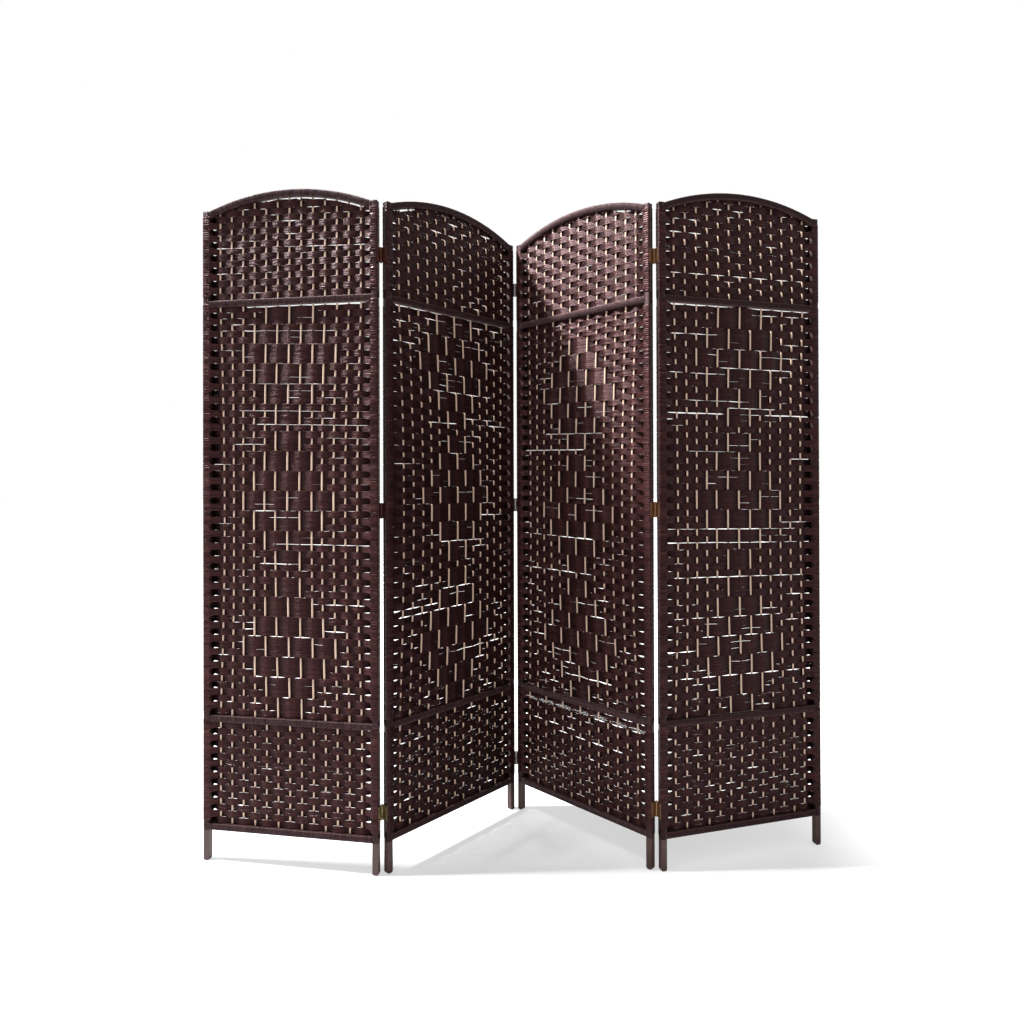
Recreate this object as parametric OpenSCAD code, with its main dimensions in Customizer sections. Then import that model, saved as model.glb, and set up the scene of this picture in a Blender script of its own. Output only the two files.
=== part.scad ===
// Folding screen of four panels. Each panel is a wooden frame with an arched
// top rail, filled with thirteen upright sticks and rows of flat dark cord
// woven over and under them, with diamonds in the tall middle field. Cuffs of
// the same cord wrap the posts and rails. Brass butt hinges join the panels,
// with their knuckles on alternate sides, so that the screen folds in a zigzag.
//
// The floor is z = 0 and the front faces -Y. The panels stand part folded.
// In a panel's own frame x runs along its width, -y is its front, and the
// origin is on the floor at its middle.

/* [Screen] */
// Height of the arch's crest above the floor
overall_h = 1800; // [1600:5:2000]
// Width of one panel's wooden frame, over its two posts
frame_w = 494; // [460:1:560]
// Height of the crest above the tops of the posts
arch_rise = 45; // [30:1:60]
// Direction of the second panel, from the X axis
turn = 48; // [30:0.5:60]
// Angle that the first panel is folded back from the second one's plane
fold_left = 57.5; // [20:0.5:150]
// Angle that the third panel is folded forward from the second one's plane
fold_centre = 93.5; // [20:0.5:150]
// Angle that the fourth panel is folded back from the third one's plane
fold_right = 61.5; // [20:0.5:150]

/* [Frame] */
// Side of a post's square section
post_w = 16; // [13:0.5:20]
// Height of a rail's section, the arched one's too
rail_h = 15.5; // [12:0.5:20]
// Clear height below the bottom rail
leg_h = 82; // [50:1:120]
// Clear height of the woven field between the bottom and lower rails
lower_field_h = 273; // [200:1:350]
// Distance from the tops of the posts down to the upper rail
upper_field_h = 243; // [180:1:300]
// Radius of the edges at the foot of a post
foot_r = 5; // [2:0.5:7]
// Radius of the edges at the top of a post
cap_r = 2; // [1:0.5:6]
// Depth that a rail's tenon goes into a post
tenon_l = 8; // [5:0.5:11]
// Side of a tenon's square section
tenon_w = 8; // [5:0.5:10]

/* [Sticks] */
// Number of upright sticks in a panel
stick_count = 13; // [7:2:15]
// Width of a stick, seen from the front
stick_w = 5.2; // [3.5:0.1:6]
// Thickness of a stick, front to back
stick_t = 3.2; // [2:0.1:4]
// Distance from a post to the centre of the stick beside it
stick_edge = 30.5; // [24:0.5:36]
// Depth that a stick goes into the bottom rail and the arch
stick_seat = 7; // [4:0.5:10]

/* [Weave] */
// Thickness of the cord, in the rows and in the wraps
cord_t = 1.5; // [1:0.1:2.5]
// Space between a row and the stick that it passes
cord_lift = 0.8; // [0.4:0.1:1.5]
// Open slit between two rows
row_gap = 0.7; // [0.4:0.1:1.5]
// Number of rows in the lower field
lower_rows = 16; // [10:1:20]
// Number of rows in the middle field of the first, second and fourth panels
middle_rows = 62; // [50:1:70]
// Number of rows in the middle field of the third, closer woven panel
dense_rows = 69; // [50:1:75]
// Height of a row in the upper field, its slit included
upper_row_h = 17.4; // [14:0.1:22]
// Open slit under the upper rail and under the arch
rail_slit = 3; // [1:0.5:5]
// Sticks on each side of the middle one that a diamond reaches
diamond_half = 4; // [2:1:5]
// Number of diamonds in the middle field
diamond_count = 3; // [1:1:3]

/* [Hinges] */
// Height of a hinge
hinge_h = 40; // [30:1:60]
// Width of a leaf, from the pin's axis
leaf_w = 19; // [14:0.5:20]
// Thickness of a leaf
leaf_t = 1.2; // [0.8:0.1:1.5]
// Space between the wrapped edges of two panels when they are in line
hinge_gap = 4; // [3.6:0.1:6]
// Distance from the wrapped face of a post out to the pin's axis
pivot_out = 2.5; // [2.2:0.1:4]
// Outer radius of a knuckle
knuckle_r = 2.6; // [2:0.1:2.8]
// Radius of a hinge pin
pin_r = 1.2; // [0.8:0.05:1.4]
// Height of the lowest hinge's middle above the floor
hinge_low = 157; // [120:1:250]
// Height of the middle hinge's middle above the floor
hinge_mid = 945; // [700:1:1100]
// Distance from the tops of the posts down to the highest hinge's middle
hinge_drop = 139; // [80:1:220]
// Length of a hinge screw
screw_l = 12; // [8:0.5:14]
// Radius of a hinge screw's shank
screw_r = 1.2; // [0.9:0.1:1.5]
// Radius of a hinge screw's head
head_r = 2.5; // [2:0.1:3]

/* [Hidden] */
// Clearances: a tenon or stick in its socket, a rail's wrap from the posts' wraps,
// a wrap round the arch, a pin in its knuckle, a screw in its hole, and between
// two knuckles
fit = 0.1;
wrap_fit = 0.05;
pin_fit = 0.05;
screw_fit = 0.03;
knuckle_gap = 0.2;
// Overshoot of a cut past the face that it leaves by
over = 1;

stick_colour = "#c9a588";
post_colour = "#4a3328";
cord_colour = "#3d2c2b";
brass_colour = "#a87a3c";

post_h = overall_h - arch_rise;
inner_w = frame_w - 2 * post_w;
wrap_w = frame_w + 2 * cord_t;
wrap_d = post_w + 2 * cord_t;
wrap_rail_h = rail_h + 2 * cord_t;

// Heights of the rails' undersides, over their wraps, and of the fields
bottom_rail_z = leg_h;
lower_field_z = bottom_rail_z + wrap_rail_h;
lower_rail_z = lower_field_z + lower_field_h;
middle_field_z = lower_rail_z + wrap_rail_h;
upper_field_z = post_h - upper_field_h;
upper_rail_z = upper_field_z - wrap_rail_h;
lower_row_h = lower_field_h / lower_rows;
middle_field_h = upper_rail_z - rail_slit - middle_field_z;

// The arch: its outer circle passes through the crest and the inner top
// corners of the posts, and the other three circles share its centre
arch_r = (pow(inner_w / 2, 2) + pow(arch_rise, 2)) / (2 * arch_rise);
arch_z = overall_h - arch_r;
arch_wood_r = arch_r - cord_t;
arch_inner_r = arch_r - wrap_rail_h;
upper_rows = ceil((overall_h - wrap_rail_h - rail_slit - upper_field_z) / upper_row_h);
function arch_height(r, x) = arch_z + sqrt(r * r - x * x);

stick_pitch = (inner_w - 2 * stick_edge) / (stick_count - 1);
stick_z = bottom_rail_z + cord_t + rail_h - stick_seat;
function stick_x(c) = (c - (stick_count + 1) / 2) * stick_pitch;
function stick_top(x) = arch_height(arch_wood_r - rail_h, abs(x)) + stick_seat;

// The weave. Columns 0 and stick_count + 1 are the posts. A stick shows at a
// row where the cord passes behind it. The plain weave alternates, and in the
// middle row of each block of three the sticks that belong to a diamond change
// places with their neighbours, so that they show three rows long.
block_rows = 3;
diamond_blocks = 2 * diamond_half - 1;
diamond_rows = block_rows * diamond_blocks + 1;
function even(n) = n % 2 == 0;
function block(r) = floor((r % diamond_rows) / block_rows);
function reach(r) = diamond_half - abs(block(r) - (diamond_half - 1));
function is_block_middle(r) =
    r < diamond_count * diamond_rows
    && r % diamond_rows < diamond_rows - 1
    && (r % diamond_rows) % block_rows == 1;
function in_diamond(r, c) =
    is_block_middle(r) && abs(c - (stick_count + 1) / 2) <= reach(r);
function stick_shows(r, c, diamonds) =
    even(r + c) != (diamonds && in_diamond(r, c));
cord_off = stick_t / 2 + cord_lift + cord_t / 2;
post_off = post_w / 2 + cord_t / 2;
function cord_y(r, c, diamonds) =
    (stick_shows(r, c, diamonds) ? 1 : -1)
    * (c == 0 || c == stick_count + 1 ? post_off : cord_off);
function cord_x(c) =
    c == 0 ? -inner_w / 2 : c == stick_count + 1 ? inner_w / 2 : stick_x(c);

// Heights at which the cuffs round a post start and end: one cuff for each
// field, meeting behind the rails
cuff_ends = [
    bottom_rail_z,
    lower_rail_z + wrap_rail_h / 2,
    upper_rail_z + wrap_rail_h / 2,
    post_h - cap_r];

// Plan of the panels. Knuckles are behind at the first and third folds and in
// front at the second.
panel_count = 4;
fold_count = 3;
headings = [
    turn - fold_left,
    turn,
    turn - fold_centre,
    turn - fold_centre + fold_right];
knuckle_side = [1, -1, 1];
pivot_x = wrap_w / 2 + hinge_gap / 2;
pivot_y = wrap_d / 2 + pivot_out;
function turned(a, v) = [v.x * cos(a) - v.y * sin(a), v.x * sin(a) + v.y * cos(a)];
// From a panel's middle to its pivot at one end
function arm(p, end, fold) = turned(headings[p], [end * pivot_x, knuckle_side[fold] * pivot_y]);
second = [0, 0];
first = second + arm(1, -1, 0) - arm(0, 1, 0);
third = second + arm(1, 1, 1) - arm(2, -1, 1);
fourth = third + arm(2, 1, 2) - arm(3, -1, 2);
middles = [first, second, third, fourth];
corners = [for (p = [0:panel_count - 1], i = [-1, 1], j = [-1, 1])
    middles[p] + turned(headings[p], [i * wrap_w / 2, j * wrap_d / 2])];
xs = [for (q = corners) q.x];
ys = [for (q = corners) q.y];
plan_centre = [(min(xs) + max(xs)) / 2, (min(ys) + max(ys)) / 2];

hinge_z = [hinge_low, hinge_mid, post_h - hinge_drop];
screw_at = [0.2 * hinge_h, 0.8 * hinge_h];
screw_y = pivot_out + wrap_d / 2;
knuckle_h = (hinge_h - 2 * knuckle_gap) / 4;
// Heights of the two end knuckles, on the left leaf, and of the long middle
// one, on the right leaf: each is [start, length]
left_knuckles = [[0, knuckle_h], [hinge_h - knuckle_h, knuckle_h]];
right_knuckles = [[knuckle_h + knuckle_gap, 2 * knuckle_h]];
rivet_r = pin_r + 0.7;
rivet_h = 0.8;

panel_parts = ["left_post", "right_post", "arch_rail", "upper_rail", "lower_rail",
    "bottom_rail", "sticks", "upper_weave", "middle_weave", "lower_weave", "cord_wraps"];
fold_parts = ["left_leaves", "right_leaves", "pins", "left_screws", "right_screws"];
function panel_node(p, part) = str("panel_", p + 1, "_", part);
function fold_node(f, part) = str("fold_", f + 1, "_", part);

// ---- Frame ----

// Outline of a post from the front, its edges rounded at foot and top
module post_outline() {
    for (x = [foot_r, post_w - foot_r]) translate([x, foot_r]) circle(r = foot_r, $fn = 48);
    for (x = [cap_r, post_w - cap_r]) translate([x, post_h - cap_r]) circle(r = cap_r, $fn = 48);
    translate([foot_r, 0]) square([post_w - 2 * foot_r, post_h]);
    translate([cap_r, foot_r]) square([post_w - 2 * cap_r, post_h - foot_r]);
    translate([0, foot_r]) square([post_w, post_h - foot_r - cap_r]);
}

// Height of the middle of the arch's end, where its tenon is
arch_end_z = (arch_height(arch_wood_r, inner_w / 2)
    + arch_height(arch_wood_r - rail_h, inner_w / 2)) / 2;
tenon_z = [
    bottom_rail_z + wrap_rail_h / 2,
    lower_rail_z + wrap_rail_h / 2,
    upper_rail_z + wrap_rail_h / 2,
    arch_end_z];

// Tenons at both ends of a rail, or their mortises with the fit added
module tenons(z, gap) {
    for (s = [-1, 1])
        translate([s * (inner_w / 2 + (tenon_l - over) / 2), 0, z])
            cube([tenon_l + over + gap, tenon_w + 2 * gap, tenon_w + 2 * gap], center = true);
}

// Slots that the sticks stand in
module stick_slots() {
    for (c = [1:stick_count])
        translate([stick_x(c), 0, stick_z - fit])
            linear_extrude(stick_top(stick_x(c)) - stick_z + 2 * fit)
                square([stick_w + 2 * fit, stick_t + 2 * fit], center = true);
}

// Pilot holes for the hinge screws in one edge of a panel. Screws stand at
// mid thickness of the post on either knuckle side.
module pilot_holes(end, r) {
    for (z = hinge_z, dz = screw_at)
        translate([end * (wrap_w / 2 + over), 0, z - hinge_h / 2 + dz])
            rotate([0, -90 * end, 0])
                cylinder(r = r, h = over + screw_l - leaf_t + fit, $fn = 24);
}

// Does this end of the panel carry hinges?
function hinged(p, end) = end < 0 ? p > 0 : p < panel_count - 1;

module post(p, end) {
    color(post_colour)
        difference() {
            translate([end > 0 ? inner_w / 2 : -frame_w / 2, post_w / 2, 0])
                rotate([90, 0, 0]) linear_extrude(post_w) post_outline();
            for (z = tenon_z) tenons(z, fit);
            if (hinged(p, end)) pilot_holes(end, screw_r + screw_fit);
        }
}

module straight_rail(z) {
    color(stick_colour)
        difference() {
            union() {
                translate([-inner_w / 2, -post_w / 2, z + cord_t]) cube([inner_w, post_w, rail_h]);
                tenons(z + wrap_rail_h / 2, 0);
            }
            stick_slots();
        }
}

// A band of the arch between two radii, as deep as d, from post to post and
// longer by extra at each end
module arch_band(r_out, r_in, d, extra = 0) {
    translate([0, d / 2, 0]) rotate([90, 0, 0]) linear_extrude(d)
        intersection() {
            translate([0, arch_z])
                difference() {
                    circle(r = r_out, $fn = 360);
                    circle(r = r_in, $fn = 360);
                }
            translate([-inner_w / 2 - extra, upper_field_z])
                square([inner_w + 2 * extra, overall_h]);
        }
}

module arch_rail() {
    color(stick_colour)
        difference() {
            union() {
                arch_band(arch_wood_r, arch_wood_r - rail_h, post_w);
                tenons(arch_end_z, 0);
            }
            stick_slots();
        }
}

module sticks() {
    bevel = stick_t / 4;
    u = stick_w / 2;
    v = stick_t / 2;
    color(stick_colour)
        for (c = [1:stick_count])
            translate([stick_x(c), 0, stick_z])
                linear_extrude(stick_top(stick_x(c)) - stick_z)
                    polygon([
                        [-u, bevel - v], [bevel - u, -v], [u - bevel, -v], [u, bevel - v],
                        [u, v - bevel], [u - bevel, v], [bevel - u, v], [-u, v - bevel]]);
}

// ---- Cord ----

// One row of cord in plan, from post to post
module row_plan(r, diamonds) {
    last = stick_count + 1;
    front = [for (c = [0:last]) [cord_x(c), cord_y(r, c, diamonds) - cord_t / 2]];
    back = [for (c = [last:-1:0]) [cord_x(c), cord_y(r, c, diamonds) + cord_t / 2]];
    polygon(concat(front, back));
}

// Rows first to last of a field that starts at height z
module rows(z, h, first_row, last_row, diamonds) {
    for (r = [first_row:last_row])
        translate([0, 0, z + r * h + row_gap / 2])
            linear_extrude(h - row_gap) row_plan(r, diamonds);
}

module lower_weave() {
    color(cord_colour) rows(lower_field_z, lower_row_h, 0, lower_rows - 1, false);
}

module middle_weave(count) {
    color(cord_colour) rows(middle_field_z, middle_field_h / count, 0, count - 1, true);
}

// The rows under the arch are cut to its curve
module upper_weave() {
    spring = arch_height(arch_inner_r - rail_slit, inner_w / 2);
    full = floor((spring - upper_field_z) / upper_row_h);
    color(cord_colour) {
        rows(upper_field_z, upper_row_h, 0, full - 1, false);
        intersection() {
            rows(upper_field_z, upper_row_h, full, upper_rows - 1, false);
            translate([0, wrap_d, arch_z]) rotate([90, 0, 0])
                cylinder(r = arch_inner_r - rail_slit, h = 2 * wrap_d, $fn = 360);
        }
    }
}

// Plan of a cuff: round a post's front, outer edge and back
module cuff_plan(end) {
    x = [end * inner_w / 2, end * frame_w / 2, end * wrap_w / 2];
    y = [post_w / 2, wrap_d / 2];
    polygon([
        [x[0], -y[1]], [x[2], -y[1]], [x[2], y[1]], [x[0], y[1]],
        [x[0], y[0]], [x[1], y[0]], [x[1], -y[0]], [x[0], -y[0]]]);
}

module cuffs(p, end) {
    difference() {
        for (i = [0:len(cuff_ends) - 2])
            translate([0, 0, cuff_ends[i] + row_gap / 2])
                linear_extrude(cuff_ends[i + 1] - cuff_ends[i] - row_gap) cuff_plan(end);
        if (hinged(p, end)) pilot_holes(end, screw_r + fit);
    }
}

// Cord wound round a straight rail. The sticks pass through slits in its top
// and, above the bottom rail, in its underside too.
slit_w = stick_t + 2 * fit;
module rail_wrap(z, has_lower_slit) {
    length = inner_w - 2 * fit;
    translate([-length / 2, 0, z]) rotate([90, 0, 90]) linear_extrude(length)
        difference() {
            translate([-wrap_d / 2, 0]) square([wrap_d, wrap_rail_h]);
            translate([-post_w / 2, cord_t]) square([post_w, rail_h]);
            translate([-slit_w / 2, wrap_rail_h / 2]) square([slit_w, wrap_rail_h]);
            if (has_lower_slit) translate([-slit_w / 2, -over]) square([slit_w, wrap_rail_h]);
        }
}

// Cord wound round the arch, with a slit for the sticks along its underside
module arch_wrap() {
    difference() {
        arch_band(arch_r, arch_inner_r, wrap_d, -fit);
        arch_band(
            arch_wood_r + wrap_fit, arch_wood_r - rail_h - wrap_fit, post_w + 2 * wrap_fit, over);
        arch_band(arch_wood_r - rail_h, arch_inner_r - over, slit_w, over);
    }
}

module cord_wraps(p) {
    color(cord_colour) {
        for (end = [-1, 1]) cuffs(p, end);
        rail_wrap(bottom_rail_z, false);
        for (z = [lower_rail_z, upper_rail_z]) rail_wrap(z, true);
        arch_wrap();
    }
}

// ---- Hinges ----

// A leaf in its own frame: the pin's axis is Z, its post is on the +x side,
// and the plate runs along -y
module leaf(knuckles) {
    root = knuckle_r + knuckle_gap;
    inner_x = hinge_gap / 2 - leaf_t;
    difference() {
        union() {
            translate([inner_x, -leaf_w, 0]) cube([leaf_t, leaf_w - root, hinge_h]);
            for (k = knuckles) translate([0, 0, k[0]]) {
                cylinder(r = knuckle_r, h = k[1], $fn = 48);
                translate([inner_x, -root - leaf_t, 0]) cube([leaf_t, root + leaf_t, k[1]]);
            }
        }
        translate([0, 0, -over])
            cylinder(r = pin_r + pin_fit, h = hinge_h + 2 * over, $fn = 48);
        for (dz = screw_at)
            translate([inner_x, -screw_y, dz]) rotate([0, 90, 0]) {
                translate([0, 0, -over]) cylinder(r = screw_r + fit, h = leaf_t + 2 * over, $fn = 24);
                cylinder(r1 = head_r + fit, r2 = screw_r + fit, h = leaf_t, $fn = 24);
            }
    }
}

// Two countersunk screws in the leaf's frame
module leaf_screws() {
    for (dz = screw_at)
        translate([hinge_gap / 2 - leaf_t, -screw_y, dz]) rotate([0, 90, 0]) {
            cylinder(r1 = head_r, r2 = screw_r, h = leaf_t, $fn = 24);
            cylinder(r = screw_r, h = screw_l, $fn = 24);
        }
}

// A pin with a flat rivet head past each end knuckle
module hinge_pin() {
    translate([0, 0, -fit]) cylinder(r = pin_r, h = hinge_h + 2 * fit, $fn = 48);
    for (z = [-fit - rivet_h, hinge_h + fit])
        translate([0, 0, z]) cylinder(r = rivet_r, h = rivet_h, $fn = 48);
}

// ---- Places ----

module on_panel(p) {
    translate(middles[p] - plan_centre) rotate([0, 0, headings[p]]) children();
}

// Puts what is in a leaf's frame on the three hinges of a fold, for the leaf on
// the panel to the left or to the right of it
module on_fold(f, right) {
    p = right ? f + 1 : f;
    end = right ? -1 : 1;
    for (z = hinge_z)
        on_panel(p)
            translate([end * pivot_x, knuckle_side[f] * pivot_y, z - hinge_h / 2])
                mirror([0, knuckle_side[f] < 0 ? 1 : 0, 0])
                    mirror([right ? 0 : 1, 0, 0])
                        children();
}

module panel_part(p, part) {
    if (part == "left_post") post(p, -1);
    if (part == "right_post") post(p, 1);
    if (part == "arch_rail") arch_rail();
    if (part == "upper_rail") straight_rail(upper_rail_z);
    if (part == "lower_rail") straight_rail(lower_rail_z);
    if (part == "bottom_rail") straight_rail(bottom_rail_z);
    if (part == "sticks") sticks();
    if (part == "upper_weave") upper_weave();
    if (part == "middle_weave") middle_weave(p == 2 ? dense_rows : middle_rows);
    if (part == "lower_weave") lower_weave();
    if (part == "cord_wraps") cord_wraps(p);
}

module fold_part(f, part) {
    color(brass_colour) {
        if (part == "left_leaves") on_fold(f, false) leaf(left_knuckles);
        if (part == "right_leaves") on_fold(f, true) leaf(right_knuckles);
        if (part == "pins") on_fold(f, false) hinge_pin();
        if (part == "left_screws") on_fold(f, false) leaf_screws();
        if (part == "right_screws") on_fold(f, true) leaf_screws();
    }
}

for (p = [0:panel_count - 1], part = panel_parts)
    on_panel(p) panel_part(p, part);
for (f = [0:fold_count - 1], part = fold_parts)
    fold_part(f, part);
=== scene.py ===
"""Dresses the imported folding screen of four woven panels.

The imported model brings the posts, rails and hinges. This script weaves the paper cord over and
under the sticks, winds it round the posts and rails, splits the sticks and finishes every piece.
Lengths are in metres. In a panel's own frame x runs along its width, -y is its front and z is
the height above the floor, with the origin on the floor at the panel's middle.
"""
import logging
import math
from dataclasses import dataclass, field
from enum import Enum
from typing import Any, Callable, Iterator, Sequence

import bpy
import numpy as np
from mathutils import Euler, Matrix, Vector


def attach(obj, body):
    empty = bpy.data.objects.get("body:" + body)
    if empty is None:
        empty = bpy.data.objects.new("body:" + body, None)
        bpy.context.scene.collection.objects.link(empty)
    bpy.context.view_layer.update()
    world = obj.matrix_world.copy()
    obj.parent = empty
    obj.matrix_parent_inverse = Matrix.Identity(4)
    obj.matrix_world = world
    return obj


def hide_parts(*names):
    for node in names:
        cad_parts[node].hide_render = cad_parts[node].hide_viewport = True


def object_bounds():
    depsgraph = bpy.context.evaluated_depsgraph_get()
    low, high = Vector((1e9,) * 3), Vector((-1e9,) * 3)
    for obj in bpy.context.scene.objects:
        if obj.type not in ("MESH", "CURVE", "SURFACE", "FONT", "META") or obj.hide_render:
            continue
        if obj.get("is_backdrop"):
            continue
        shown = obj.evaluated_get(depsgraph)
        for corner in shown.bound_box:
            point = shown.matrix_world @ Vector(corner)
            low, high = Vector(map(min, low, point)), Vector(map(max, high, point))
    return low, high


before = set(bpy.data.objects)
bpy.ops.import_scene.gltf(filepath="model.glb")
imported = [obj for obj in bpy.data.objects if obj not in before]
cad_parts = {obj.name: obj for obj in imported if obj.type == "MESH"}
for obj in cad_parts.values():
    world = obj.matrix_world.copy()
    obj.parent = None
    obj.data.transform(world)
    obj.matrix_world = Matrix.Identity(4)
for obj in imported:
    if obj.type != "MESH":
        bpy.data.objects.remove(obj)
CAD_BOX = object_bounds()
MM = 0.001
SEED = 100
log = logging.getLogger("screen")


@dataclass(frozen=True)
class Viewpoint:
    """The photograph's camera, with its lens in pixels of the photograph."""

    position: tuple[float, float, float] = (-13 * MM, -2043 * MM, 1034.3 * MM)
    focal_px: float = 712.4
    frame_px: int = 1024
    axis_row_px: float = 472.4
    pitch: float = 0.0054
    roll: float = -0.0030
    sensor: float = 36.0

    def place(self) -> None:
        """Makes the camera and looks through it."""
        data = bpy.data.cameras.new("camera")
        data.sensor_width = self.sensor
        data.lens = self.focal_px / self.frame_px * self.sensor
        data.shift_y = (self.axis_row_px - self.frame_px / 2) / self.frame_px
        camera = bpy.data.objects.new("camera", data)
        camera.location = self.position
        upright = Euler((math.pi / 2 + self.pitch, 0.0, 0.0)).to_matrix()
        camera.rotation_euler = (upright @ Matrix.Rotation(self.roll, 3, "Z")).to_euler()
        bpy.context.scene.collection.objects.link(camera)
        bpy.context.scene.camera = camera


class Signal:
    """A value, colour or vector on its way through a node tree.

    The operators work on values and add Math nodes. Colours and vectors go through the sheet's
    mix and stretched methods.
    """

    def __init__(self, sheet: "NodeSheet", socket: bpy.types.NodeSocket) -> None:
        """Wraps an output socket of the sheet's tree."""
        self.sheet = sheet
        self.socket = socket

    def _math(self, operation: str, first: "Signal | float", second: "Signal | float") -> "Signal":
        """Adds one Math node and returns its result."""
        return self.sheet.add("ShaderNodeMath", {"operation": operation}, {0: first, 1: second})

    def __add__(self, other: "Signal | float") -> "Signal":
        """self + other."""
        return self._math("ADD", self, other)

    def __radd__(self, other: float) -> "Signal":
        """other + self."""
        return self._math("ADD", other, self)

    def __sub__(self, other: "Signal | float") -> "Signal":
        """self - other."""
        return self._math("SUBTRACT", self, other)

    def __rsub__(self, other: float) -> "Signal":
        """other - self."""
        return self._math("SUBTRACT", other, self)

    def __mul__(self, other: "Signal | float") -> "Signal":
        """self * other."""
        return self._math("MULTIPLY", self, other)

    def __rmul__(self, other: float) -> "Signal":
        """other * self."""
        return self._math("MULTIPLY", other, self)

    def above(self, start: float, end: float) -> "Signal":
        """A smooth mask that is 0 below start and 1 past end."""
        return self.sheet.add(
            "ShaderNodeMapRange",
            {"interpolation_type": "SMOOTHSTEP"},
            {"Value": self, "From Min": start, "From Max": end},
        )


class NodeSheet:
    """The node tree of one material or world."""

    def __init__(self, owner: bpy.types.Material | bpy.types.World) -> None:
        """Empties a node tree and keeps it.

        Args:
            owner: the material or world that the tree belongs to.
        """
        owner.use_nodes = True
        self.tree = owner.node_tree
        self.tree.nodes.clear()

    def node(
        self,
        kind: str,
        settings: dict[str, Any] | None = None,
        inputs: dict[str | int, Any] | None = None,
    ) -> bpy.types.Node:
        """Adds a node of any kind.

        Args:
            kind: the node's Blender type.
            settings: its properties, which are set first.
            inputs: a value or a Signal for each socket, by name or number.

        Returns:
            The new node.
        """
        made = self.tree.nodes.new(kind)
        for name, value in (settings or {}).items():
            setattr(made, name, value)
        for key, value in (inputs or {}).items():
            if isinstance(value, Signal):
                self.tree.links.new(value.socket, made.inputs[key])
            else:
                made.inputs[key].default_value = value
        return made

    def add(
        self,
        kind: str,
        settings: dict[str, Any] | None = None,
        inputs: dict[str | int, Any] | None = None,
        output: str | int = 0,
    ) -> Signal:
        """Adds a node as node() does and returns one of its outputs."""
        return Signal(self, self.node(kind, settings, inputs).outputs[output])

    def mix(self, factor: "Signal | float", first: Any, second: Any) -> Signal:
        """Blends two colours, each a Signal or three numbers."""
        pair = [c if isinstance(c, Signal) else (*c, 1.0) for c in (first, second)]
        return self.add(
            "ShaderNodeMix", {"data_type": "RGBA"}, {0: factor, 6: pair[0], 7: pair[1]}, 2
        )

    def stretched(self, vector: Signal, scale: Sequence[float], turn: float = 0.0) -> Signal:
        """Turns a vector about z and then scales it along each axis."""
        steps = [1.0 / value for value in scale]
        return self.add(
            "ShaderNodeMapping",
            {"vector_type": "TEXTURE"},
            {"Vector": vector, "Rotation": (0.0, 0.0, turn), "Scale": steps},
        )

    def noise(self, vector: Signal, detail: float = 2.0, rough: float = 0.5) -> Signal:
        """Noise of unit scale at a vector."""
        return self.add(
            "ShaderNodeTexNoise",
            {},
            {"Vector": vector, "Scale": 1.0, "Detail": detail, "Roughness": rough},
        )

    def lay(self) -> Signal:
        """The "lay" attribute of cords and sticks: the way along, the way across and the tone,
        which on cords also holds painted crevice shade.
        """
        return self.add("ShaderNodeAttribute", {"attribute_name": "lay"}, {}, "Vector")

    def place(self) -> Signal:
        """The place in the piece's own coordinates."""
        return self.add("ShaderNodeTexCoord", {}, {}, "Object")

    def height(self, vector: Signal) -> Signal:
        """A vector's z."""
        return self.add("ShaderNodeSeparateXYZ", {}, {0: vector}, "Z")

    def bump(self, height: Signal, distance: float, strength: float) -> Signal:
        """The normal of a surface that a height field raises by up to a distance."""
        return self.add(
            "ShaderNodeBump", {}, {"Strength": strength, "Distance": distance, "Height": height}
        )

    def surface(self, values: dict[str, Any]) -> None:
        """Ends the tree with a Principled shader of these values."""
        shader = self.add("ShaderNodeBsdfPrincipled", {}, values)
        self.node("ShaderNodeOutputMaterial", {}, {"Surface": shader})


Colour = tuple[float, float, float]
Scale = tuple[float, float, float]


@dataclass(frozen=True)
class Finish:
    """A material of one Principled shader. Each kind of finish gives the shader's values."""

    name: str

    def values(self, sheet: NodeSheet) -> dict[str, Any]:
        """The shader's values, which each kind works out in its own way."""
        raise NotImplementedError

    def make(self) -> bpy.types.Material:
        """Builds the material.

        Returns:
            The new material.
        """
        material = bpy.data.materials.new(self.name)
        sheet = NodeSheet(material)
        sheet.surface(self.values(sheet))
        return material


@dataclass(frozen=True)
class CordFinish(Finish):
    """Twisted paper cord pressed flat, dyed dark brown, with slanting creases and a dull sheen."""

    name: str = "paper_cord"
    deep: Colour = (0.0050, 0.0014, 0.0018)
    pale: Colour = (0.066, 0.0235, 0.0215)
    sheen: Colour = (1.0, 0.46, 0.48)
    gloss: float = 0.24
    crease_h: float = 0.00022
    crease_scale: Scale = (120.0, 1300.0, 40.0)
    twist: float = 0.45
    patch_scale: Scale = (30.0, 160.0, 25.0)

    def values(self, sheet: NodeSheet) -> dict[str, Any]:
        """Works out the shader's values.

        Args:
            sheet: the material's nodes.

        Returns:
            A value or a Signal for each socket that isn't left alone.
        """
        lay = sheet.lay()
        tone = sheet.height(lay)
        creases = sheet.noise(sheet.stretched(lay, self.crease_scale, self.twist), 2.0, 0.6)
        patches = sheet.noise(sheet.stretched(lay, self.patch_scale), 2.0)
        # The tone brings in painted crevice shade, which darkens the base colour where a cord
        # dives behind a stick.
        light = patches.above(0.40, 0.75) * 0.45 + tone * 0.35 + creases.above(0.45, 0.75) * 0.25
        return {
            "Base Color": sheet.mix(light - 0.08, self.deep, self.pale),
            "Roughness": 0.32 + 0.12 * patches,
            "Normal": sheet.bump(creases, self.crease_h, 0.8),
            "Specular IOR Level": self.gloss,
            "Specular Tint": (*self.sheen, 1.0),
        }


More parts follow.
